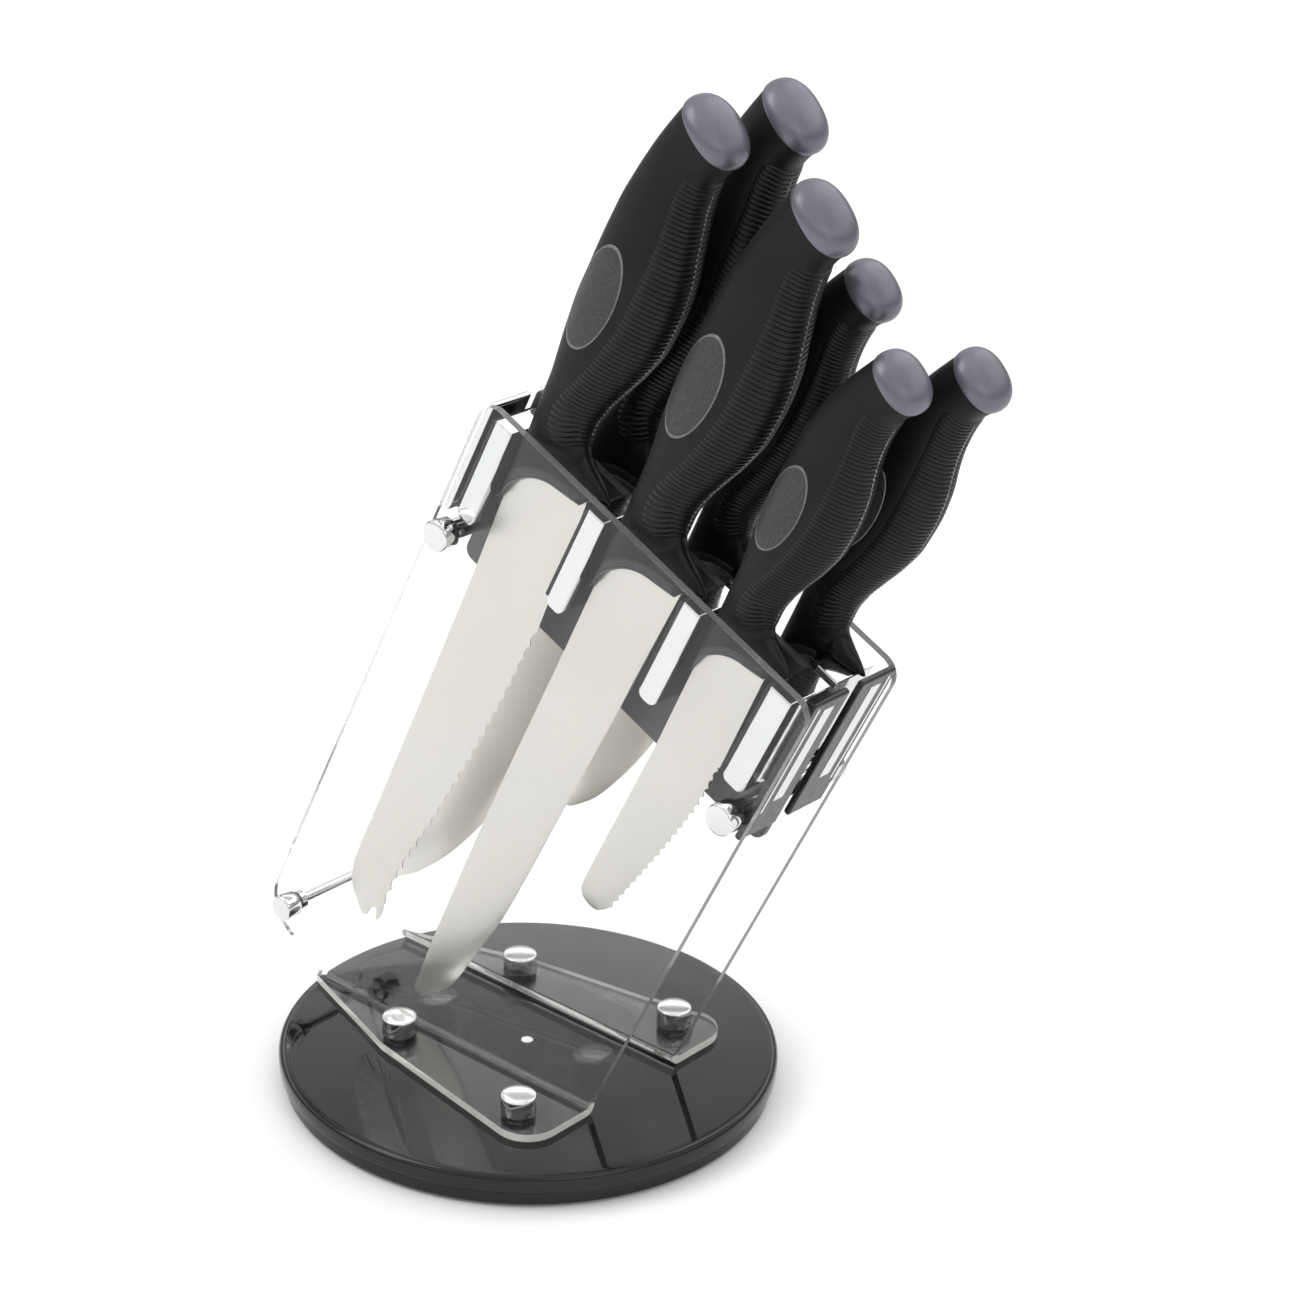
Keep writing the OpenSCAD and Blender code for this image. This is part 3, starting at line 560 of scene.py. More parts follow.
def cut_flat(outline, inner_points=(), inner_lines=(), holes=()):
    points = [Vector(p) for p in outline]
    loop = list(points)
    edges = [(k, (k + 1) % len(outline)) for k in range(len(outline))]
    for x, y, radius in holes:
        start = len(points)
        for k in range(24):
            turn = 2 * math.pi * k / 24
            points.append(Vector((x + radius * math.cos(turn), y + radius * math.sin(turn))))
            edges.append((start + k, start + (k + 1) % 24))
    start = len(points)
    points += [Vector(p) for p in inner_points]
    edges += [(start + a, start + b) for a, b in inner_lines]
    cut = delaunay_2d_cdt(points, edges, [], 1, 1e-5, True)
    flat, faces, came_from = cut[0], cut[2], cut[3]
    kept = []
    for face in faces:
        middle = sum((flat[k] for k in face), Vector((0, 0))) / len(face)
        in_hole = any((middle - Vector((x, y))).length < radius * 0.98 for x, y, radius in holes)
        if inside_loop(loop, middle) and not in_hole:
            kept.append(tuple(face))
    return flat, kept


def rim_edges(faces):
    count = {}
    for face in faces:
        for a, b in zip(face, face[1:] + face[:1]):
            key = (min(a, b), max(a, b))
            count[key] = None if key in count else (a, b)
    return [pair for pair in count.values() if pair]


print("the outline helpers are ready")

# %% [markdown]
# The wall of a panel leans with the knives, its upper corners are rounded
# and its rear lower corner is cut away. Below the bend the foot flange
# spreads out sideways, wider at the front, with a softly rounded corner
# round each screw.

# %% Flat outline of a panel
base_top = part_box("top_disc")[1].z / MM
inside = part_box("near_buffers")[0].y / -MM
sheet = 3.0
bend_in = 1.0
bend_mid = bend_in + sheet / 2
bend_across = inside + bend_in + sheet
bend_up = base_top + bend_in + sheet
bend_run = bend_mid * math.pi / 2
panel_front, panel_rear, panel_top = 37.4, -117.2, 234.9
bend_rear = -84.7
foot_edge_top = base_top + 8
FLANGE_SCREWS = ((-33.2, 32.8), (33.7, 41.9))
HOLDER_RODS = ((-109.6, 182), (30.4, 182))
LOW_ROD = (-106.2, -5.4)
screw_hole, rod_hole, low_rod_hole = 2.2, 2.2, 2.0
slope = math.tan(LEAN)
front_x = panel_front / math.cos(LEAN) + bend_up * slope


def upright(along, up):
    point = lean_point(along, 0, up) / MM
    return point.x, point.z


rear_x = panel_rear / math.cos(LEAN)
cut_slope = 1 / math.tan(math.radians(32))
cut_up = (bend_rear + bend_up * cut_slope - rear_x) / (slope + cut_slope)
wall = rounded_outline(
    [
        (front_x, bend_up), upright(panel_front, panel_top), upright(panel_rear, panel_top),
        (rear_x + cut_up * slope, cut_up), (bend_rear, bend_up),
    ],
    [0, 7, 7, 16, 0], 14,
)
foot = rounded_outline(
    [(bend_rear, bend_across), (-32.6, 42.5), (front_x, 56), (front_x, bend_across)],
    [0, 10, 12, 0], 14,
)
bend_steps = 10
flat_outline = [(x, bend_up - z) for x, z in wall]
flat_outline += [(bend_rear, bend_run * k / bend_steps) for k in range(1, bend_steps)]
flat_outline += [(x, bend_run + y - bend_across) for x, y in foot]
flat_outline += [(front_x, bend_run * k / bend_steps) for k in range(bend_steps - 1, 0, -1)]
print("a panel's flat outline has", len(flat_outline), "points")

# %% [markdown]
# Folding is one small function: a point above the bend goes up the wall, a
# point in the bend goes round the quarter turn and a point past it goes out
# along the flange. The sheet stays 0.05 mm above the disc, because two
# surfaces in one place would flicker.

# %% Fold the panels
OFF_DISC = 0.05


def folded(x, run, offset, side):
    reach = bend_mid + offset
    if run <= 0:
        return Vector((x, side * (bend_across - reach), bend_up - run)) * MM
    if run < bend_run:
        turn = run / bend_mid
        y = bend_across - reach * math.cos(turn)
        return Vector((x, side * y, bend_up - reach * math.sin(turn))) * MM
    return Vector((x, side * (bend_across + run - bend_run), bend_up - reach)) * MM


def panel_holes():
    holes = [(x, bend_run + y - bend_across, screw_hole) for x, y in FLANGE_SCREWS]
    rod_spots = [(spot, rod_hole) for spot in HOLDER_RODS] + [(LOW_ROD, low_rod_hole)]
    for spot, radius in rod_spots:
        x, z = upright(*spot)
        holes.append((x, bend_up - z, radius))
    return holes


bend_points, bend_lines = [], []
for k in range(bend_steps + 1):
    bend_points += [(bend_rear, bend_run * k / bend_steps), (front_x, bend_run * k / bend_steps)]
    bend_lines.append((2 * k, 2 * k + 1))
sheet_flat, sheet_faces = cut_flat(flat_outline, bend_points, bend_lines, panel_holes())


def folded_sheet(side):
    half = sheet / 2 - OFF_DISC
    count = len(sheet_flat)
    points = [folded(p.x, p.y, half, side) for p in sheet_flat]
    points += [folded(p.x, p.y, -half, side) for p in sheet_flat]
    faces = list(sheet_faces) + [tuple(count + k for k in reversed(f)) for f in sheet_faces]
    edges = [(a, b, b + count, a + count) for a, b in rim_edges(sheet_faces)]
    return points, faces + edges


for name, side in (("near_panel", -1), ("far_panel", 1)):
    panel = make_piece(name + "_sheet", folded_sheet(side), clear_acrylic, "stand", 30)
    panel.data.materials.append(foot_edge_painted_light)
    panel.data.materials.append(wall_edge_painted_light)
    # The quad faces are the cut edges. Low ones take the painted foot-edge light and the rest take the
    # painted wall-edge light.
    for face in panel.data.polygons:
        if len(face.vertices) == 4:
            face.material_index = 1 if face.center.z < foot_edge_top * MM else 2
    soften(panel, 0.3, 2, 60)
    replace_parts(panel, name)
    print(panel.name, "has", len(panel.data.polygons), "faces")

# %% [markdown]
# Flat parts such as posts and plates are outlines in the leaning side view,
# pushed across the stand. The outline becomes two end faces and a wall, and
# a narrow bevel turns every cut edge into something that catches light.

# %% Plates and posts
def plate_shell(outline, start, end):
    count = len(outline)
    points = [lean_point(a, start, u) for a, u in outline]
    points += [lean_point(a, end, u) for a, u in outline]
    faces = [tuple(range(count)), tuple(range(2 * count - 1, count - 1, -1))]
    faces += [(k, (k + 1) % count, count + (k + 1) % count, count + k) for k in range(count)]
    return points, faces


comb_top = 230.2
post_low = comb_top - 42
post_fronts = (-103.4, -58.0, -12.6, 29.3)
post_widths = (8.8, 8.8, 8.8, 10.4)
strip = 1.2
divider_half = 1.5


def post_shells(side):
    shells = []
    for front, width in zip(post_fronts, post_widths):
        rear = front - width + strip
        outline = rounded_outline(
            [(rear, post_low), (front, post_low), (front, comb_top), (rear, comb_top)],
            [2.6, 2.6, 0.6, 0.6], 8,
        )
        shells.append(plate_shell(outline, side * divider_half, side * inside))
    return gather(shells)


def strip_shells(side):
    shells = []
    for front, width in zip(post_fronts, post_widths):
        rear = front - width
        outline = rounded_outline(
            [
                (rear, post_low + 3), (rear + strip, post_low + 3),
                (rear + strip, comb_top - 0.6), (rear, comb_top - 0.6),
            ],
            [0.5, 0, 0, 0.5], 4,
        )
        shells.append(plate_shell(outline, side * divider_half, side * inside))
    return gather(shells)


for row, side in (("near", -1), ("far", 1)):
    posts = make_piece(row + "_bright_posts", post_shells(side), bright_chrome, "stand")
    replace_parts(soften(posts, 0.5, 3), row + "_posts")
    strips = make_piece(row + "_soft_strips", strip_shells(side), strip_rubber, "stand")
    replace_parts(soften(strips, 0.2, 2), row + "_buffers")
    print(posts.name, len(posts.data.polygons), strips.name, len(strips.data.polygons))

# %% [markdown]
# Between the two rows stands a grey divider plate, and thin plates close the
# holder at the front and rear. The rear ones are bright. The front ones are
# black, with a broad and a slim bright strip on the face of each. They are
# all made with the same outline tools.

# %% Divider and end plates
end_rear, end_front = panel_rear + 0.8, panel_front - 0.8
end_thick = 2.4
end_split = 3.4
divider_low, front_low, rear_low = 161, 174, 187
divider = make_piece(
    "grey_divider",
    plate_shell(
        rounded_outline(
            [
                (end_rear + end_thick, divider_low), (end_front - end_thick, divider_low),
                (end_front - end_thick, comb_top - 2), (post_fronts[0] + 1, comb_top - 2),
                (post_fronts[0] - 1, comb_top + 5), (end_rear + end_thick, comb_top + 5),
            ],
            [4, 4, 2, 1.5, 2, 2], 8,
        ),
        -divider_half, divider_half,
    ),
    holder_grey, "stand",
)
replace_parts(soften(divider, 0.4, 2), "divider_plate")


def end_shells(start, low, high):
    outline = rounded_outline(
        [(start, low), (start + end_thick, low), (start + end_thick, high), (start, high)],
        [1, 1, 1, 1], 6,
    )
    return gather([
        plate_shell(outline, end_split, inside), plate_shell(outline, -inside, -end_split),
    ])


front_plates = make_piece(
    "front_closing_plates", end_shells(end_front - end_thick, front_low, panel_top + 1),
    holder_black, "stand",
)
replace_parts(soften(front_plates, 0.4, 3), "front_plates")


def bright_strips(face_along, low, high, start, end):
    rear, front = face_along - 0.5, face_along + 0.35
    outline = [(rear, low), (front, low), (front, high), (rear, high)]
    return gather([plate_shell(outline, start, end), plate_shell(outline, -end, -start)])


broad_strip, slim_strip = (9.6, 14.4), (17.6, 18.4)
front_strips = make_piece(
    "front_bright_strips",
    gather([
        bright_strips(end_front, 190, comb_top + 2, *broad_strip),
        bright_strips(end_front, 186, panel_top - 1, *slim_strip),
    ]),
    bright_chrome, "stand",
)
soften(front_strips, 0.2, 2)
rear_plates = make_piece(
    "rear_closing_plates", end_shells(end_rear, rear_low, panel_top - 1.5), bright_chrome, "stand"
)
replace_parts(soften(rear_plates, 0.4, 3), "rear_plates")
print("the divider spans", round(end_front - end_rear - 2 * end_thick, 1), "mm")

# %% [markdown]
# Two chromed rods hold the holder between the panels and a third, lower one
# stiffens the rear. Each ends in a bright turned cap outside the panel with
# a dark washer line behind it, and like caps cover the screws on the feet.
# All are slightly domed, which bends the mirror so that they read as metal.

# %% Rods and caps
def cap_section(radius, height, crown):
    edge = 0.8
    return (
        [(0, 0), (radius - 0.3, 0), (radius, 0.3), (radius, height - edge - crown)]
        + round_corner((radius - edge, height - edge - crown), edge, 0, 80, 8)
        + [(radius * share, height - crown * share * share) for share in (0.7, 0.45, 0.2)] + [(0, height)]
    )


def washer_section(radius):
    return [(0, 0), (radius, 0), (radius + 0.2, 0.3), (radius, 0.6), (0, 0.6)]


foot_caps = []
for side in (-1, 1):
    for x, y in FLANGE_SCREWS:
        place = Vector((x, side * y, base_top + sheet)) * MM
        foot_caps.append(turned(cap_section(6.3, 7.4, 0.35), place, UPRIGHT))
flange_caps = make_piece("bright_foot_caps", gather(foot_caps), bright_chrome, "stand", 50)
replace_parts(flange_caps, "flange_caps")


def rod_shell(spot, radius, reach):
    section = [(0, -reach), (radius, -reach), (radius, reach), (0, reach)]
    return turned(section, lean_point(spot[0], 0, spot[1]), SIDEWAYS, 48)


def outer_caps(spots, radius):
    shells, washers = [], []
    for along, up in spots:
        for side in (-1, 1):
            place = lean_point(along, side * (inside + sheet), up)
            shells.append(turned(cap_section(radius, 7.0, 0.4), place, (0, side, 0), 96))
            washers.append(turned(washer_section(radius - 0.4), place, (0, side, 0), 64))
    return gather(shells), gather(washers)


def collar_shell(spot, radius, start, end):
    return turned(
        [(radius - 1.2, start), (radius, start), (radius, end), (radius - 1.2, end)],
        lean_point(spot[0], 0, spot[1]), SIDEWAYS, 48, ring=True,
    )


reach = inside + sheet + 3.4
rod_shells = gather([rod_shell(spot, 2.0, reach) for spot in HOLDER_RODS])
rods = make_piece("holder_rod_pair", rod_shells, bright_chrome, "stand", 50)
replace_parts(rods, "holder_rods")
low_bar = make_piece("low_rod", rod_shell(LOW_ROD, 1.8, reach), bright_chrome, "stand", 50)
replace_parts(low_bar, "low_rod_bar")
tube_spans = ((divider_half, inside - 0.1), (0.1 - inside, -divider_half))
spacers = [collar_shell(spot, 3.5, *span) for spot in HOLDER_RODS for span in tube_spans]
spacer_tubes = make_piece("spacer_tubes", gather(spacers), bright_chrome, "stand", 50)
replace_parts(spacer_tubes, "rod_spacers")
ring_spans = ((inside - 2.4, inside - 0.1), (0.1 - inside, 2.4 - inside))
collars = [collar_shell(LOW_ROD, 3.5, *span) for span in ring_spans]
low_collars = make_piece("low_rod_rings", gather(collars), bright_chrome, "stand", 50)
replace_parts(low_collars, "low_rod_collars")
cap_shells, washer_shells = outer_caps(HOLDER_RODS, 5.5)
holder_caps = make_piece("bright_rod_caps", cap_shells, bright_chrome, "stand", 50)
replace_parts(holder_caps, "rod_caps")
low_shells, low_washers = outer_caps([LOW_ROD], 4.9)
low_caps = make_piece("bright_low_caps", low_shells, bright_chrome, "stand", 50)
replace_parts(low_caps, "low_rod_caps")
dark_shells = gather([washer_shells, low_washers])
make_piece("dark_washers", dark_shells, strip_rubber, "stand", 50)
print("caps:", len(foot_caps), "on the feet and 6 on the rods")

# %% [markdown]
# All six handles follow one pattern, made longer or shorter. From the side
# a handle has a spine line and a belly line that swells for the palm and
# narrows behind the cap; from the front it has a half thickness. Each line
# is a short list of measured points, and a smooth curve joins them so that
# no facets show.

# %% Smooth lines through measured points
def smooth_line(points):
    xs = [p[0] for p in points]
    ys = [p[1] for p in points]
    slopes = [(ys[k + 1] - ys[k]) / (xs[k + 1] - xs[k]) for k in range(len(xs) - 1)]
    tangents = [slopes[0]]
    for before, after in zip(slopes, slopes[1:]):
        tangents.append(0 if before * after <= 0 else 2 * before * after / (before + after))
    tangents.append(slopes[-1])

    def at(x):
        if x <= xs[0]:
            return ys[0]
        if x >= xs[-1]:
            return ys[-1]
        k = next(n for n in range(len(xs) - 1) if x <= xs[n + 1])
        span = xs[k + 1] - xs[k]
        t = (x - xs[k]) / span
        return (
            (2 * t**3 - 3 * t**2 + 1) * ys[k] + (t**3 - 2 * t**2 + t) * span * tangents[k]
            + (3 * t**2 - 2 * t**3) * ys[k + 1] + (t**3 - t**2) * span * tangents[k + 1]
        )

    return at


spine_line = smooth_line([
    (0, -1.3), (13, -1.5), (27, -2.4), (37, -3.5), (48, -4.8), (60, -5.6), (78, -5.8),
    (95, -5.4), (105, -4.2), (114, -2.6), (121, -0.9), (127, 0.9), (131, 2.2),
])
belly_line = smooth_line([
    (0, 37.4), (3, 33), (6, 27), (9, 22.2), (13, 20), (19, 19.4), (27, 20.6), (37, 23.8), (48, 27.6),
    (60, 30.2), (72, 30.6), (84, 29.4), (95, 26.6), (105, 24.2), (114, 22.7), (121, 22.2),
    (127, 23.4), (131, 25),
])
half_line = smooth_line([
    (0, 6.8), (6, 6.8), (13, 7.6), (27, 9.0), (37, 10), (48, 10.8), (60, 11.2), (78, 11.2),
    (95, 10.5), (114, 9.7), (121, 9.6), (131, 9.9),
])
narrow_line = smooth_line([(0, 0.62), (9, 0.4), (19, 0.12), (37, 0.05), (131, 0)])
print("the belly is widest at", round(belly_line(72) - spine_line(72), 1), "mm")

# %% [markdown]
# Each knife is one line in a table: its row, where its spine stands, its
# handle length and its slot. The three shorter handles are the same pattern
# at a smaller size with their ends swept a little toward the belly.

# %% The six knives
FULL = 131.0
SMALL = 109.0
KNIVES = {
    "bread": {"side": -1, "spine": -100.9, "length": FULL, "post": 1, "size": 1.0},
    "carving": {"side": -1, "spine": -55.2, "length": FULL + 2.5, "post": 2, "size": 1.0},
    "utility": {"side": -1, "spine": -9.6, "length": SMALL, "post": 3, "size": SMALL / FULL},
    "chef": {"side": 1, "spine": -93.3, "length": FULL + 6, "post": 1, "size": 1.0},
    "broad": {"side": 1, "spine": -44.6, "length": SMALL, "post": 2, "size": SMALL / FULL},
    "paring": {"side": 1, "spine": 1.0, "length": SMALL + 2, "post": 3, "size": SMALL / FULL},
}
ROW_ACROSS = 13.0
REST_UP = comb_top + 0.3
CAP_TILT = math.radians(22)
arch_blend = smooth_line([(-1, 27), (12, 27), (18, 14), (23, 4), (45, 3)])
RING_POWER = 2.3
end_slant = smooth_line([(0, 0), (95, 0), (131, 1)])
small_sweep = smooth_line([(0, 0), (95, 0), (114, 0.4), (131, 1)])


def knife_step(knife):
    rear_of_post = post_fronts[knife["post"]] - post_widths[knife["post"]]
    return min(31, (rear_of_post - 0.5 - knife["spine"]) / knife["size"])


def arch_line(knife):
    step = knife_step(knife)
    return smooth_line([
        (-1.3, -33.5), (0.2, -27), (1.5, -21.5), (3.5, -17), (6, -13.6), (9, -10.4), (12, -8.2),
        (15.5, -6.6), (18.5, -6), (step - 1.6, -5.8), (step - 0.4, 0), (45, 0),
    ])


for knife in KNIVES.values():
    knife["arch"] = arch_line(knife)
    knife["thick"] = 0.92 if knife["size"] < 1 else 1.0


def handle_skin(knife, up, angle, depth=0.0):
    spine, belly = spine_line(up), belly_line(up)
    c, s = math.cos(angle), math.sin(angle)
    reach = ((belly - spine) / 2 - depth) * math.copysign(abs(c) ** (2 / RING_POWER), c)
    share = ((belly - spine) / 2 + reach) / (belly - spine)
    across = (half_line(up) - depth) * math.copysign(abs(s) ** (2 / RING_POWER), s)
    across *= 1 - narrow_line(up) * share * share
    along = (spine + belly) / 2 + reach
    if knife["size"] < 1:
        along += 4.6 * small_sweep(up)
    lift = up - reach * math.tan(CAP_TILT) * end_slant(up)
    blend = arch_blend(along)
    if up < blend:
        lift += (1 - up / blend) * knife["arch"](along)
    near_foot = min(max(up, 0) / 3, 1)
    tall = knife["size"] + (knife["length"] / FULL - knife["size"]) * near_foot
    return (
        knife["spine"] + along * knife["size"],
        knife["side"] * ROW_ACROSS + across * knife["thick"],
        REST_UP + lift * tall,
    )


print("handle lengths", {name: knife["length"] for name, knife in KNIVES.items()})

# %% [markdown]
# The handle shell is a loft: rings of points from the guard to the cap,
# joined row by row. The lowest rings draw in by under a millimetre to round
# the lower edge over the blade. A value called polish is painted on the
# points near the guard, and the soft-touch finish reads it.

# %% Loft the handles
RING = 88


def loft(rings):
    count = len(rings[0])
    points = [p for ring in rings for p in ring]
    faces = []
    for k in range(len(rings) - 1):
        for j in range(count):
            a, b = k * count + j, k * count + (j + 1) % count
            faces.append((a, b, b + count, a + count))
    for base in (0, (len(rings) - 1) * count):
        faces.append((base, base + 1, base + count - 1))
        for j in range(1, count // 2 - 1):
            faces.append((base + j, base + j + 1, base + count - j - 1, base + count - j))
        faces.append((base + count // 2 - 1, base + count // 2, base + count // 2 + 1))
    return points, faces


def handle_heights():
    low = [(0.0, 0.8), (0.15, 0.4), (0.5, 0.12), (1.0, 0.0)]
    middle = [(1.0 + 0.75 * k, 0.0) for k in range(1, 36)]
    rest = [(28.0 + 103.0 * k / 72, 0.0) for k in range(73)]
    return low + middle + rest


def handle_shell(knife):
    rings = []
    for up, depth in handle_heights():
        rings.append([
            lean_point(*handle_skin(knife, up, 2 * math.pi * j / RING, depth)) for j in range(RING)
        ])
    return loft(rings)


def paint_polish(piece):
    values = piece.data.attributes.new("polish", "FLOAT", "POINT")
    for k, (up, _) in enumerate(handle_heights()):
        for j in range(RING):
            toward_belly = 0.5 + 0.5 * math.cos(2 * math.pi * j / RING)
            values.data[k * RING + j].value = max(0, min(1, (17 - up) / 9)) * (0.45 + 0.55 * toward_belly)


for name, knife in KNIVES.items():
    shell = make_piece(
        name + "_handle_shell", handle_shell(knife), soft_charcoal, name + "_knife", 50
    )
    paint_polish(shell)
    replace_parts(shell, name + "_handle")
    corners = [v.co for v in shell.data.vertices]
    knife["tree"] = BVHTree.FromPolygons(corners, [p.vertices for p in shell.data.polygons])
print("each handle has", len(shell.data.polygons), "faces")

# %% [markdown]
# The ribbed pad wraps the belly like a long leaf. Its border is a line of
# distances from the spine, and between the two borders the pad is a grid
# that follows the skin. Ribs are real: rounded ridges with narrow grooves,
# about sixty of them, so they also break the outline against a pale
# background as they do on the real handle.

# %% The ribbed pads
pad_border = smooth_line([
    (11.0, 17.6), (12.0, 13.0), (14.0, 8.6), (17.0, 6.4), (21.0, 5.8), (26.0, 6.8), (34.0, 9.6),
    (43.0, 12.8), (53.0, 15.2), (64.0, 17.0), (80.0, 17.4), (100.0, 16.4), (114.0, 15.2),
    (119.0, 15.6), (121.0, 17.0), (122.4, 20.5),
])
PAD_LOW, PAD_HIGH = 11.0, 122.4
RIBS = 62
ROWS_PER_RIB = 6
PAD_COLUMNS = 30


def angle_at(knife, up, rel):
    low, high = 0.0, math.pi
    for _ in range(26):
        middle = (low + high) / 2
        along = (handle_skin(knife, up, middle)[0] - knife["spine"]) / knife["size"]
        if along > rel:
            low = middle
        else:
            high = middle
    return low


def rib_height(up):
    phase = (up - PAD_LOW) / (PAD_HIGH - PAD_LOW) * RIBS
    return abs(math.sin(math.pi * phase)) ** 0.55


def pad_shell(knife):
    rows = RIBS * ROWS_PER_RIB + 1
    rings = []
    for k in range(rows):
        up = PAD_LOW + (PAD_HIGH - PAD_LOW) * k / (rows - 1)
        border = angle_at(knife, up, pad_border(up))
        ends = min(1, (up - PAD_LOW) / 1.5, (PAD_HIGH - up) / 1.5)
        row = []
        for c in range(PAD_COLUMNS + 1):
            share = 2 * c / PAD_COLUMNS - 1
            sides = min(1, (1 - abs(share)) * 7)
            proud = -0.25 + sides * ends * (0.28 + 0.62 * rib_height(up))
            row.append(lean_point(*handle_skin(knife, up, border * share, -proud)))
        rings.append(row)
    return [p for ring in rings for p in ring], grid_faces(rows - 1, PAD_COLUMNS)


for name, knife in KNIVES.items():
    pad = make_piece(
        name + "_ribbed_pad", pad_shell(knife), ribbed_black, name + "_knife", 80
    )
    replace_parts(pad, name + "_grip")
print("each pad has", RIBS, "ribs and", len(pad.data.polygons), "faces")

# %% [markdown]
# Where the two halves of the pad's mould met, a thin pale line runs down the
# middle of the belly. It is a slim tube laid along the skin. Its ends sink
# into the pad, so it never looks cut.

# %% The belly seam
SEAM_LOW, SEAM_LENGTH, SEAM_STEPS = 12.5, 109.0, 120
SEAM_RADIUS = 0.34


def tube(path, radius, steps=10):
    rings = []
    for k, point in enumerate(path):
        ahead = path[min(k + 1, len(path) - 1)] - path[max(k - 1, 0)]
        ahead.normalize()
        side = ahead.cross(Vector((0, 1, 0))).normalized()
        other = ahead.cross(side)
        ring = []
        for j in range(steps):
            turn = 2 * math.pi * j / steps
            out = side * math.cos(turn) + other * math.sin(turn)
            ring.append(point + out * radius * MM)
        rings.append(ring)
    return loft(rings)


for name, knife in KNIVES.items():
    path = []
    for k in range(SEAM_STEPS + 1):
        up = SEAM_LOW + SEAM_LENGTH * k / SEAM_STEPS
        ends = min(1, k / 4, (SEAM_STEPS - k) / 4)
        path.append(lean_point(*handle_skin(knife, up, 0.0, -0.45 * ends + 0.2)))
    line = tube(path, SEAM_RADIUS)
    make_piece(name + "_belly_seam", line, seam_grey, name + "_knife", 70)
print("each seam follows", len(path), "points")

# %% [markdown]
# Over the blade's rounded top the handle has a grey bevelled arch. It lies
# on the side faces, so each of its points is shot sideways at the handle and
# lifted by a fraction of a millimetre where it lands. A narrower, paler line
# marks its inner edge.

# %% The grey arches
def land_on_side(knife, along, up, face, lift):
    start = lean_point(along, knife["side"] * ROW_ACROSS + face * 30, up)
    spot, _, _, _ = knife["tree"].ray_cast(start, Vector((0, -face, 0)))
    if spot is None:
        spot = lean_point(along, knife["side"] * ROW_ACROSS + face * 6.4, up)
    return spot + Vector((0, face, 0)) * lift * MM


def arch_strip(knife, low, high, proud, rows, columns=70):
    shells = []
    size, arch = knife["size"], knife["arch"]
    last = knife_step(knife) - 2.6
    for face in (-1, 1):
        points = []
        for r in range(rows + 1):
            share = r / rows
            edge = min(1, share * 3.5, (1 - share) * 3.5)
            for c in range(columns + 1):
                rel = 0.5 + (last - 0.5) * (c / columns) ** 1.4
                slope = (arch(rel + 0.2) - arch(rel - 0.2)) / 0.4
                out = Vector((-slope, 1)).normalized()
                reach = low + (high - low) * share
                ends = min(1, c / 3, (columns - c) / 3)
                along = max(rel + out.x * reach, 0.1 + 0.6 * share)
                up = arch(rel) + out.y * reach
                lift = -0.15 + (proud + 0.15) * edge * ends
                spot = knife["spine"] + along * size, REST_UP + up * size
                points.append(land_on_side(knife, *spot, face, lift))
        shells.append((points, grid_faces(rows, columns)))
    return gather(shells)


for name, knife in KNIVES.items():
    band = arch_strip(knife, 0.5, 4.4, 0.3, 8)
    make_piece(name + "_grey_arch", band, arch_grey, name + "_knife", 60)
    line = arch_strip(knife, 0.1, 0.75, 0.32, 4)
    make_piece(name + "_arch_rim", line, rim_silver, name + "_knife", 60)
print("two arches and two rims on each of", len(KNIVES), "handles")

# %% [markdown]
# The oval inlays follow the side of the handle. Each point of a flat oval
# is shot sideways at the handle until it lands on the skin, and the inlay
# is lifted a tenth of a millimetre there. A thin raised rim goes round it.

# %% The oval inlays
BADGE_OUT, BADGE_UP = 5.2, 64.0
BADGE_WIDE, BADGE_LONG = 9.2, 20.6


def oval_shell(knife, face, shares, lifts, steps=64):
    size = knife["size"]
    middle_along = knife["spine"] + BADGE_OUT * size
    middle_up = REST_UP + BADGE_UP * knife["length"] / FULL
    lean_in = math.radians(-3)
    points, rows = [], []
    for share, lift in zip(shares, lifts):
        row = []
        for k in range(steps if share > 0 else 1):
            turn = 2 * math.pi * k / steps
            wide = BADGE_WIDE * size * share * math.cos(turn)
            tall = BADGE_LONG * size * share * math.sin(turn)
            along = middle_along + wide * math.cos(lean_in) - tall * math.sin(lean_in)
            up = middle_up + wide * math.sin(lean_in) + tall * math.cos(lean_in)
            row.append(len(points))
            points.append(land_on_side(knife, along, up, face, lift))
        rows.append(row)
    return points, join_rows(rows, steps)


INLAY_SHARES = [0, 0.15, 0.3, 0.45, 0.6, 0.75, 0.88, 0.95]
INLAY_LIFTS = [0.1] * len(INLAY_SHARES)
RIM_SHARES = [0.935, 0.95, 0.97, 0.99, 1.0]
RIM_LIFTS = [-0.1, 0.24, 0.28, 0.22, -0.1]
for name, knife in KNIVES.items():
    fields = [oval_shell(knife, face, INLAY_SHARES, INLAY_LIFTS) for face in (-1, 1)]
    rims = [oval_shell(knife, face, RIM_SHARES, RIM_LIFTS) for face in (-1, 1)]
    inlay = make_piece(name + "_oval_inlays", gather(fields), inlay_grey, name + "_knife", 60)
    make_piece(name + "_inlay_rims", gather(rims), rim_silver, name + "_knife", 60)
    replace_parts(inlay, name + "_badges")
print("each inlay is", BADGE_WIDE * 2, "by", BADGE_LONG * 2, "mm")

# %% [markdown]
# The end cap sits on the last ring of the handle, tilted toward the belly.
# Its rim stands a little proud with a shadow line under it, and above that
# it is a soft dome. The same ring is scaled and lifted along the tilt, so
# the cap always fits its own handle.

# %% The domed caps
DOME_RISE = 7.6


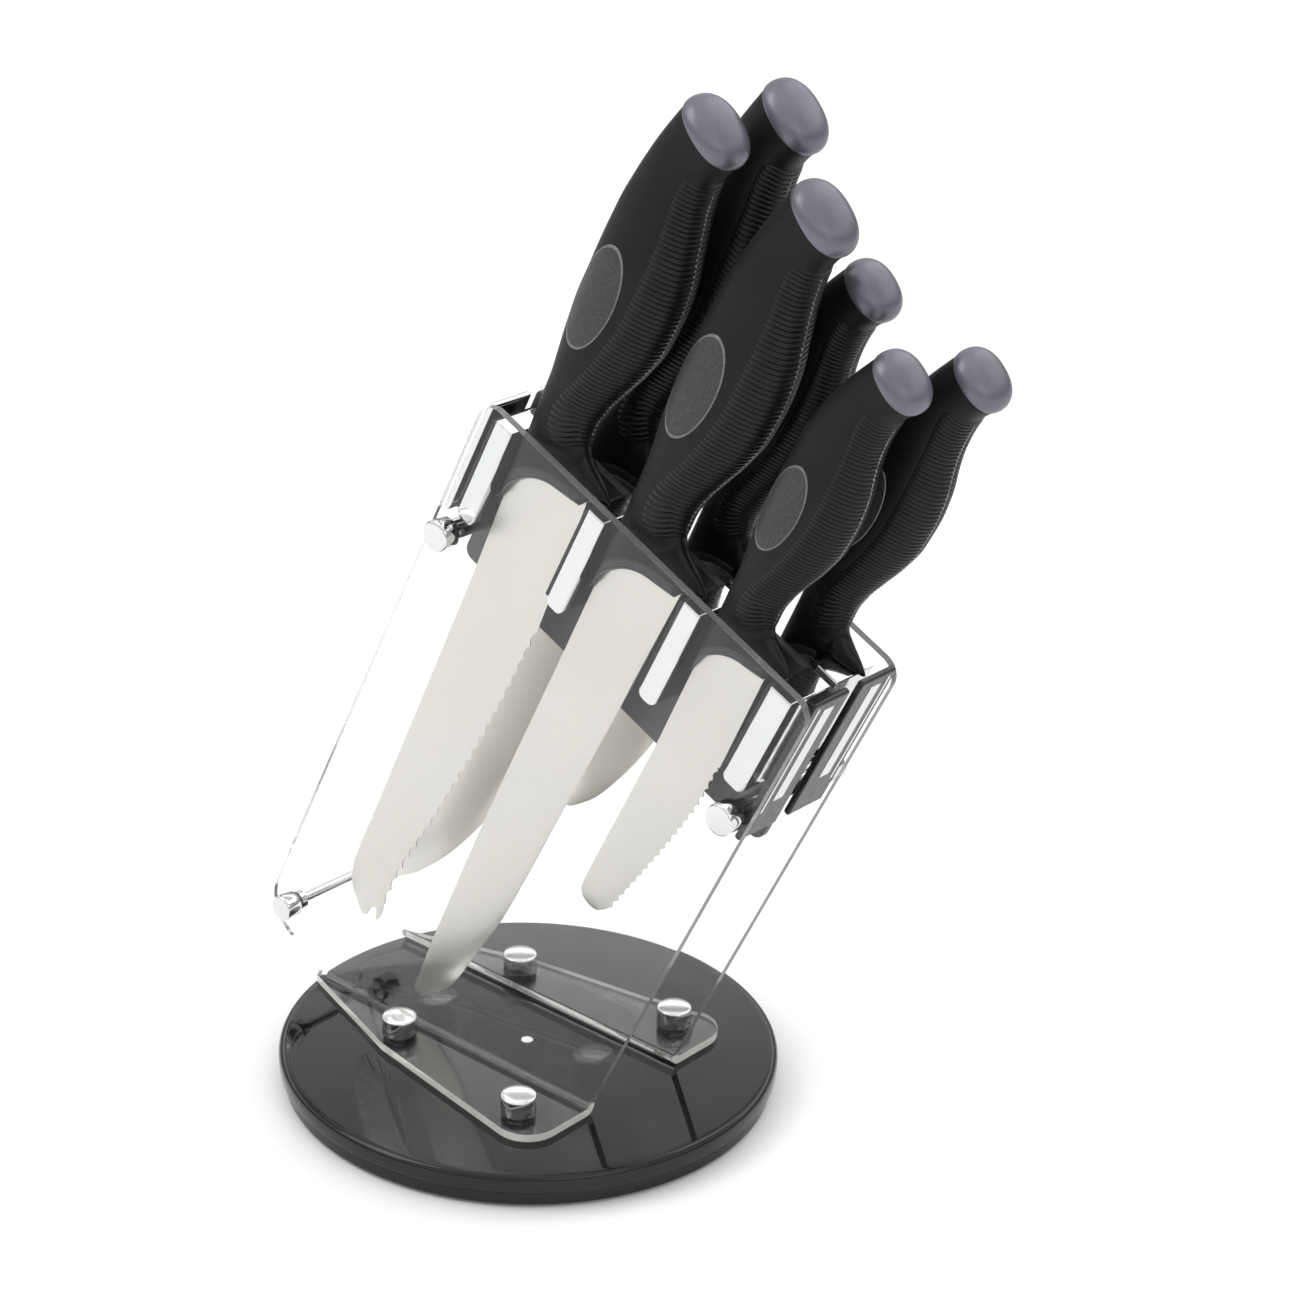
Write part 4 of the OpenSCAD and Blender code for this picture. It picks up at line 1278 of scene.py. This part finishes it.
def dome_steps():
    steps = [(0.985, -0.02), (0.985, 0.03), (1.02, 0.05), (1.035, 0.12), (1.035, 0.22)]
    for k in range(1, 17):
        turn = math.pi / 2 * k / 16
        steps.append((1.035 * max(math.cos(turn), 0) ** 0.62, 0.22 + 0.78 * math.sin(turn) ** 1.05))
    steps[-1] = (0.02, 1.0)
    return steps


def dome_shell(knife):
    ring = [Vector(handle_skin(knife, FULL, 2 * math.pi * j / RING)) for j in range(RING)]
    centre = (ring[0] + ring[RING // 2]) / 2
    rise = Vector((math.sin(CAP_TILT), 0, math.cos(CAP_TILT))) * DOME_RISE * knife["thick"]
    rings = [
        [lean_point(*(centre + (p - centre) * share + rise * lift)) for p in ring]
        for share, lift in dome_steps()
    ]
    return loft(rings)


for name, knife in KNIVES.items():
    dome = make_piece(name + "_domed_cap", dome_shell(knife), satin_lilac, name + "_knife", 40)
    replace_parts(dome, name + "_end_cap")
print("each dome rises", DOME_RISE, "mm")

# %% [markdown]
# A blade is ground, not stamped: full thickness at the spine, a long bevel
# to the edge and a last fine bevel that cuts. The outline is a smooth curve
# through measured points, cut into small triangles, and each point then
# takes its thickness from how far it lies from the cutting edge. That works
# for every tip, even the forked tip of the bread knife.

# %% Blade outlines
SPINES = {
    "bread": [(1.9, 168), (3.8, 101), (5.8, 26)],
    "carving": [(0.5, 177), (1.6, 90), (3.9, 28)],
    "utility": [(1.0, 172), (0.6, 104)],
    "chef": [(0.3, 168), (0.5, 80), (0.6, 24)],
    "broad": [(0.4, 170), (0.6, 118)],
    "paring": [(0.5, 190), (1.6, 168)],
}
TIPS = {
    "bread": [(8.2, 17.5), (12.5, 12.2), (18.6, 8.6), (20.4, 14.2), (22.2, 15.6), (24.6, 11.5)],
    "carving": [(5.6, -3)],
    "utility": [(1.2, 100.4), (3.2, 98.0), (6.4, 97.2), (10.2, 98.3)],
    "chef": [(0.9, 5.1)],
    "broad": [(1.6, 98.6), (3.4, 97.2)],
    "paring": [(3.6, 153.4)],
}
EDGES = {
    "bread": [(24.7, 22), (25.2, 43), (28.9, 72.6), (32.6, 125.6), (33.4, 169), (29.9, 224)],
    "carving": [(11.5, 3.5), (18.5, 17), (21.5, 35.5), (24.8, 61.7), (26.7, 122), (28.4, 180), (29.6, 224)],
    "utility": [(14.5, 104.4), (17.6, 120.6), (20.8, 138.5), (24.1, 163), (24.6, 184), (23.2, 224)],
    "chef": [(9.4, 17.1), (16.9, 33.5), (22.9, 52.3), (25.3, 63.4), (26.3, 88), (26.4, 224)],
    "broad": [
        (6.7, 100.8), (11.7, 109.4), (16.2, 122.6), (19.4, 135), (21.6, 147.4), (22.4, 165), (22.4, 224),
    ],
    "paring": [(9.6, 160), (13.6, 171), (16.2, 184), (17.2, 200), (17.2, 224)],
}
TEETH = {"bread": (6.4, 1.2), "utility": (4.1, 1.0)}


def swept(points, pace=2.0):
    done = []
    for k in range(len(points) - 1):
        p0 = Vector(points[max(k - 1, 0)])
        p1, p2 = Vector(points[k]), Vector(points[k + 1])
        p3 = Vector(points[min(k + 2, len(points) - 1)])
        reach = (p2 - p1).length
        m1 = (p2 - p0) / max((p2 - p0).length, 1e-6) * reach
        m2 = (p3 - p1) / max((p3 - p1).length, 1e-6) * reach
        count = max(1, int(reach / pace))
        for s in range(count):
            t = s / count
            done.append(
                p1 * (2 * t**3 - 3 * t**2 + 1) + m1 * (t**3 - 2 * t**2 + t)
                + p2 * (3 * t**2 - 2 * t**3) + m2 * (t**3 - t**2)
            )
    return done + [Vector(points[-1])]


def toothed(name, edge):
    if name not in TEETH:
        return edge
    pitch, depth = TEETH[name]
    low, high = edge[0].y, REST_UP - 36
    done = []
    for k in range(len(edge) - 1):
        a, b = edge[k], edge[k + 1]
        for s in range(4):
            p = a.lerp(b, s / 4)
            if p.y < high:
                p = p - Vector((depth * abs(math.sin(math.pi * (p.y - low) / pitch)), 0))
            done.append(p)
    return done + [edge[-1]]


def roof_line(name, knife):
    ring = [handle_skin(knife, 0, math.pi * k / 60) for k in range(61)]
    return [(p[0] - knife["spine"], p[2] + 1.2) for p in ring]


def tip_line(name):
    if len(TIPS[name]) == 1:
        return [Vector(TIPS[name][0])]
    return swept([SPINES[name][-1]] + TIPS[name] + [EDGES[name][0]], 0.8)[1:-1]


def blade_loop(name, knife):
    wide = EDGES[name][-1][0]
    roof = [p for p in roof_line(name, knife) if 0.2 < p[0] < wide - 0.2]
    spine = swept(SPINES[name])
    tip = tip_line(name)
    edge = toothed(name, swept([p for p in EDGES[name] if p[1] < REST_UP - 6.8], 1.5))
    corner_up = roof[0][1]
    foot = [Vector((0.0, roof[-1][1])), *spine]
    top = [Vector((wide, corner_up))] + [Vector(p) for p in roof]
    loop = foot + tip + edge + top
    return loop, tip[len(tip) // 3:] + edge + [Vector((wide, corner_up))]


carving_loop, _ = blade_loop("carving", KNIVES["carving"])
print("the carving blade's outline has", len(carving_loop), "points")

# %% [markdown]
# The thickness comes from the distance to the cutting edge: it grows fast
# over the first millimetre, slowly over the bevel and then stays level.
# Both sides of the blade use the same triangles, mirrored.

# %% Grind the blades
BLADE_HALF, EDGE_HALF = 1.1, 0.18
FILL_ALONG, FILL_UP, FILL_COLUMNS = 2.6, 3.5, 14
grind = smooth_line([
    (0.0, EDGE_HALF), (0.9, 0.42), (10.0, 0.95), (17.0, BLADE_HALF), (60.0, BLADE_HALF),
])


def distance_to(line, point):
    best = 1e9
    for a, b in zip(line, line[1:]):
        step = b - a
        share = max(0, min(1, (point - a).dot(step) / max(step.length_squared, 1e-9)))
        best = min(best, (a + step * share - point).length)
    return best


def blade_shell(name, knife):
    loop, cutting = blade_loop(name, knife)
    fill = []
    top = max(p.y for p in loop)
    low = min(p.y for p in loop)
    for r in range(int((top - low) / FILL_UP) + 1):
        for c in range(FILL_COLUMNS):
            along = c * FILL_ALONG + (r % 2) * FILL_ALONG / 2 + 0.6
            point = Vector((along, low + 1.5 + r * FILL_UP))
            if inside_loop(loop, point) and distance_to(loop + loop[:1], point) > 0.7:
                fill.append(point)
    plain = cutting[::3]
    flat, faces = cut_flat(loop, fill)
    half = [grind(distance_to(plain, p)) for p in flat]
    count = len(flat)
    middle = knife["side"] * ROW_ACROSS
    points = [lean_point(knife["spine"] + p.x, middle - h, p.y) for p, h in zip(flat, half)]
    points += [lean_point(knife["spine"] + p.x, middle + h, p.y) for p, h in zip(flat, half)]
    faces = list(faces) + [tuple(count + k for k in reversed(f)) for f in faces]
    faces += [(a, b, b + count, a + count) for a, b in rim_edges(faces[: len(faces) // 2])]
    return points, faces


for name, knife in KNIVES.items():
    blade = make_piece(
        name + "_satin_blade", blade_shell(name, knife), blade_satin, name + "_knife", 28
    )
    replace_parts(blade, name + "_blade")
    print(blade.name, len(blade.data.polygons), "faces")

# %% [markdown]
# The setting is a plain pale floor that runs to the horizon, so that the
# base has something to stand on and to mirror. The light is a pale sky and
# three soft lamps: the strongest high on the left, one behind and a faint
# one on the right. Chrome and gloss show whatever surrounds them, so the sky
# that they see is dark near the horizon, has a bright band under a darker
# one halfway up and is pale overhead. The sky that the camera sees is plain.

# %% Floor
floor_mesh = bpy.data.meshes.new("pale_floor")
floor_mesh.from_pydata([(-9, -9, 0), (9, -9, 0), (9, 9, 0), (-9, 9, 0)], [], [(0, 1, 2, 3)])
floor = bpy.data.objects.new("pale_floor", floor_mesh)
bpy.context.scene.collection.objects.link(floor)
pale_paper = new_finish("pale_paper", (0.92, 0.92, 0.92), 0.9)
pale_paper.node_tree.nodes["Principled BSDF"].inputs["Specular IOR Level"].default_value = 0.1
vary_colour(pale_paper, grain(pale_paper, 6), (0.915, 0.915, 0.915), (0.93, 0.93, 0.93))
floor_mesh.materials.append(pale_paper)
print("the floor lies at height", floor.location.z)

# %% Sky
sky = bpy.data.worlds.new("studio_sky")
sky.use_nodes = True
bpy.context.scene.world = sky
sky_nodes, sky_links = sky.node_tree.nodes, sky.node_tree.links
backdrop = sky_nodes["Background"]
toward_sky = sky_nodes.new("ShaderNodeTexCoord")
split = sky_nodes.new("ShaderNodeSeparateXYZ")
height_ramp = sky_nodes.new("ShaderNodeValToRGB")
ramp = height_ramp.color_ramp
ramp.elements[0].position, ramp.elements[0].color = 0.0, (0.22, 0.22, 0.23, 1)
ramp.elements[1].position, ramp.elements[1].color = 0.9, (1.3, 1.3, 1.29, 1)
SKY_STEPS = (
    (0.3, 0.6), (0.44, 1.9), (0.48, 1.75), (0.515, 1.1), (0.56, 0.6), (0.64, 0.5), (0.76, 1.15),
)
for spot, value in SKY_STEPS:
    step = ramp.elements.new(spot)
    step.color = (value, value, value * 1.01, 1)
sky_links.new(toward_sky.outputs["Generated"], split.inputs["Vector"])
sky_links.new(split.outputs["Z"], height_ramp.inputs["Fac"])
seen_path = sky_nodes.new("ShaderNodeLightPath")
seen_sky = sky_nodes.new("ShaderNodeMixRGB")
seen_sky.inputs[2].default_value = (0.93, 0.93, 0.93, 1)
sky_links.new(seen_path.outputs["Is Camera Ray"], seen_sky.inputs[0])
sky_links.new(height_ramp.outputs["Color"], seen_sky.inputs[1])
sky_links.new(seen_sky.outputs["Color"], backdrop.inputs["Color"])
backdrop.inputs["Strength"].default_value = 1.0
bpy.context.scene.view_settings.view_transform = "Standard"
print("the sky has", len(ramp.elements), "steps of height")

# %% Lamps
middle = (frame_low + frame_high) / 2


def soft_lamp(name, place, size, power):
    lamp = bpy.data.lights.new(name, "AREA")
    lamp.shape = "SQUARE"
    lamp.size = size
    lamp.energy = power
    piece = bpy.data.objects.new(name, lamp)
    piece.location = place
    piece.rotation_mode = "QUATERNION"
    piece.rotation_quaternion = (middle - Vector(place)).to_track_quat("-Z", "Y")
    bpy.context.scene.collection.objects.link(piece)
    return piece


soft_lamp("key_lamp", (-0.9, -1.2, 1.7), 1.2, 12)
soft_lamp("fill_lamp", (1.6, -0.6, 0.9), 1.0, 2)
soft_lamp("back_lamp", (0.2, 1.5, 1.5), 1.2, 5)
print("three soft lamps round", tuple(round(v, 3) for v in middle))

# %% [markdown]
# The camera stands in front and to the right, above the knives, and is
# rolled by two degrees. Its place, its aim and its long lens came from fitting
# the stand's outlines, and they show the near row, the front plates and the
# top of the base.

# %% Camera
CAMERA_PLACE = Vector((0.65259, -0.71640, 0.59373))
CAMERA_AIM = Vector((0.069426, -0.022446, 0.195651))
CAMERA_ROLL = math.radians(2.01)
lens = bpy.data.cameras.new("main_camera")
lens.lens = 85.79
lens.sensor_width = 36.0
lens.clip_start, lens.clip_end = 0.01, 50
camera = bpy.data.objects.new("main_camera", lens)
bpy.context.scene.collection.objects.link(camera)
ahead = (CAMERA_AIM - CAMERA_PLACE).normalized()
right = ahead.cross(Vector((0, 0, 1))).normalized()
lift = right.cross(ahead)
turned_right = right * math.cos(CAMERA_ROLL) + lift * math.sin(CAMERA_ROLL)
turned_up = lift * math.cos(CAMERA_ROLL) - right * math.sin(CAMERA_ROLL)
camera.matrix_world = Matrix((
    (turned_right.x, turned_up.x, -ahead.x, CAMERA_PLACE.x),
    (turned_right.y, turned_up.y, -ahead.y, CAMERA_PLACE.y),
    (turned_right.z, turned_up.z, -ahead.z, CAMERA_PLACE.z),
    (0, 0, 0, 1),
))
bpy.context.scene.camera = camera
print("the camera stands", round((CAMERA_AIM - CAMERA_PLACE).length, 3), "m away")

# %% [markdown]
# Before the frame is closed, the view layer is brought up to date.

# %% Finish
bpy.context.view_layer.update()
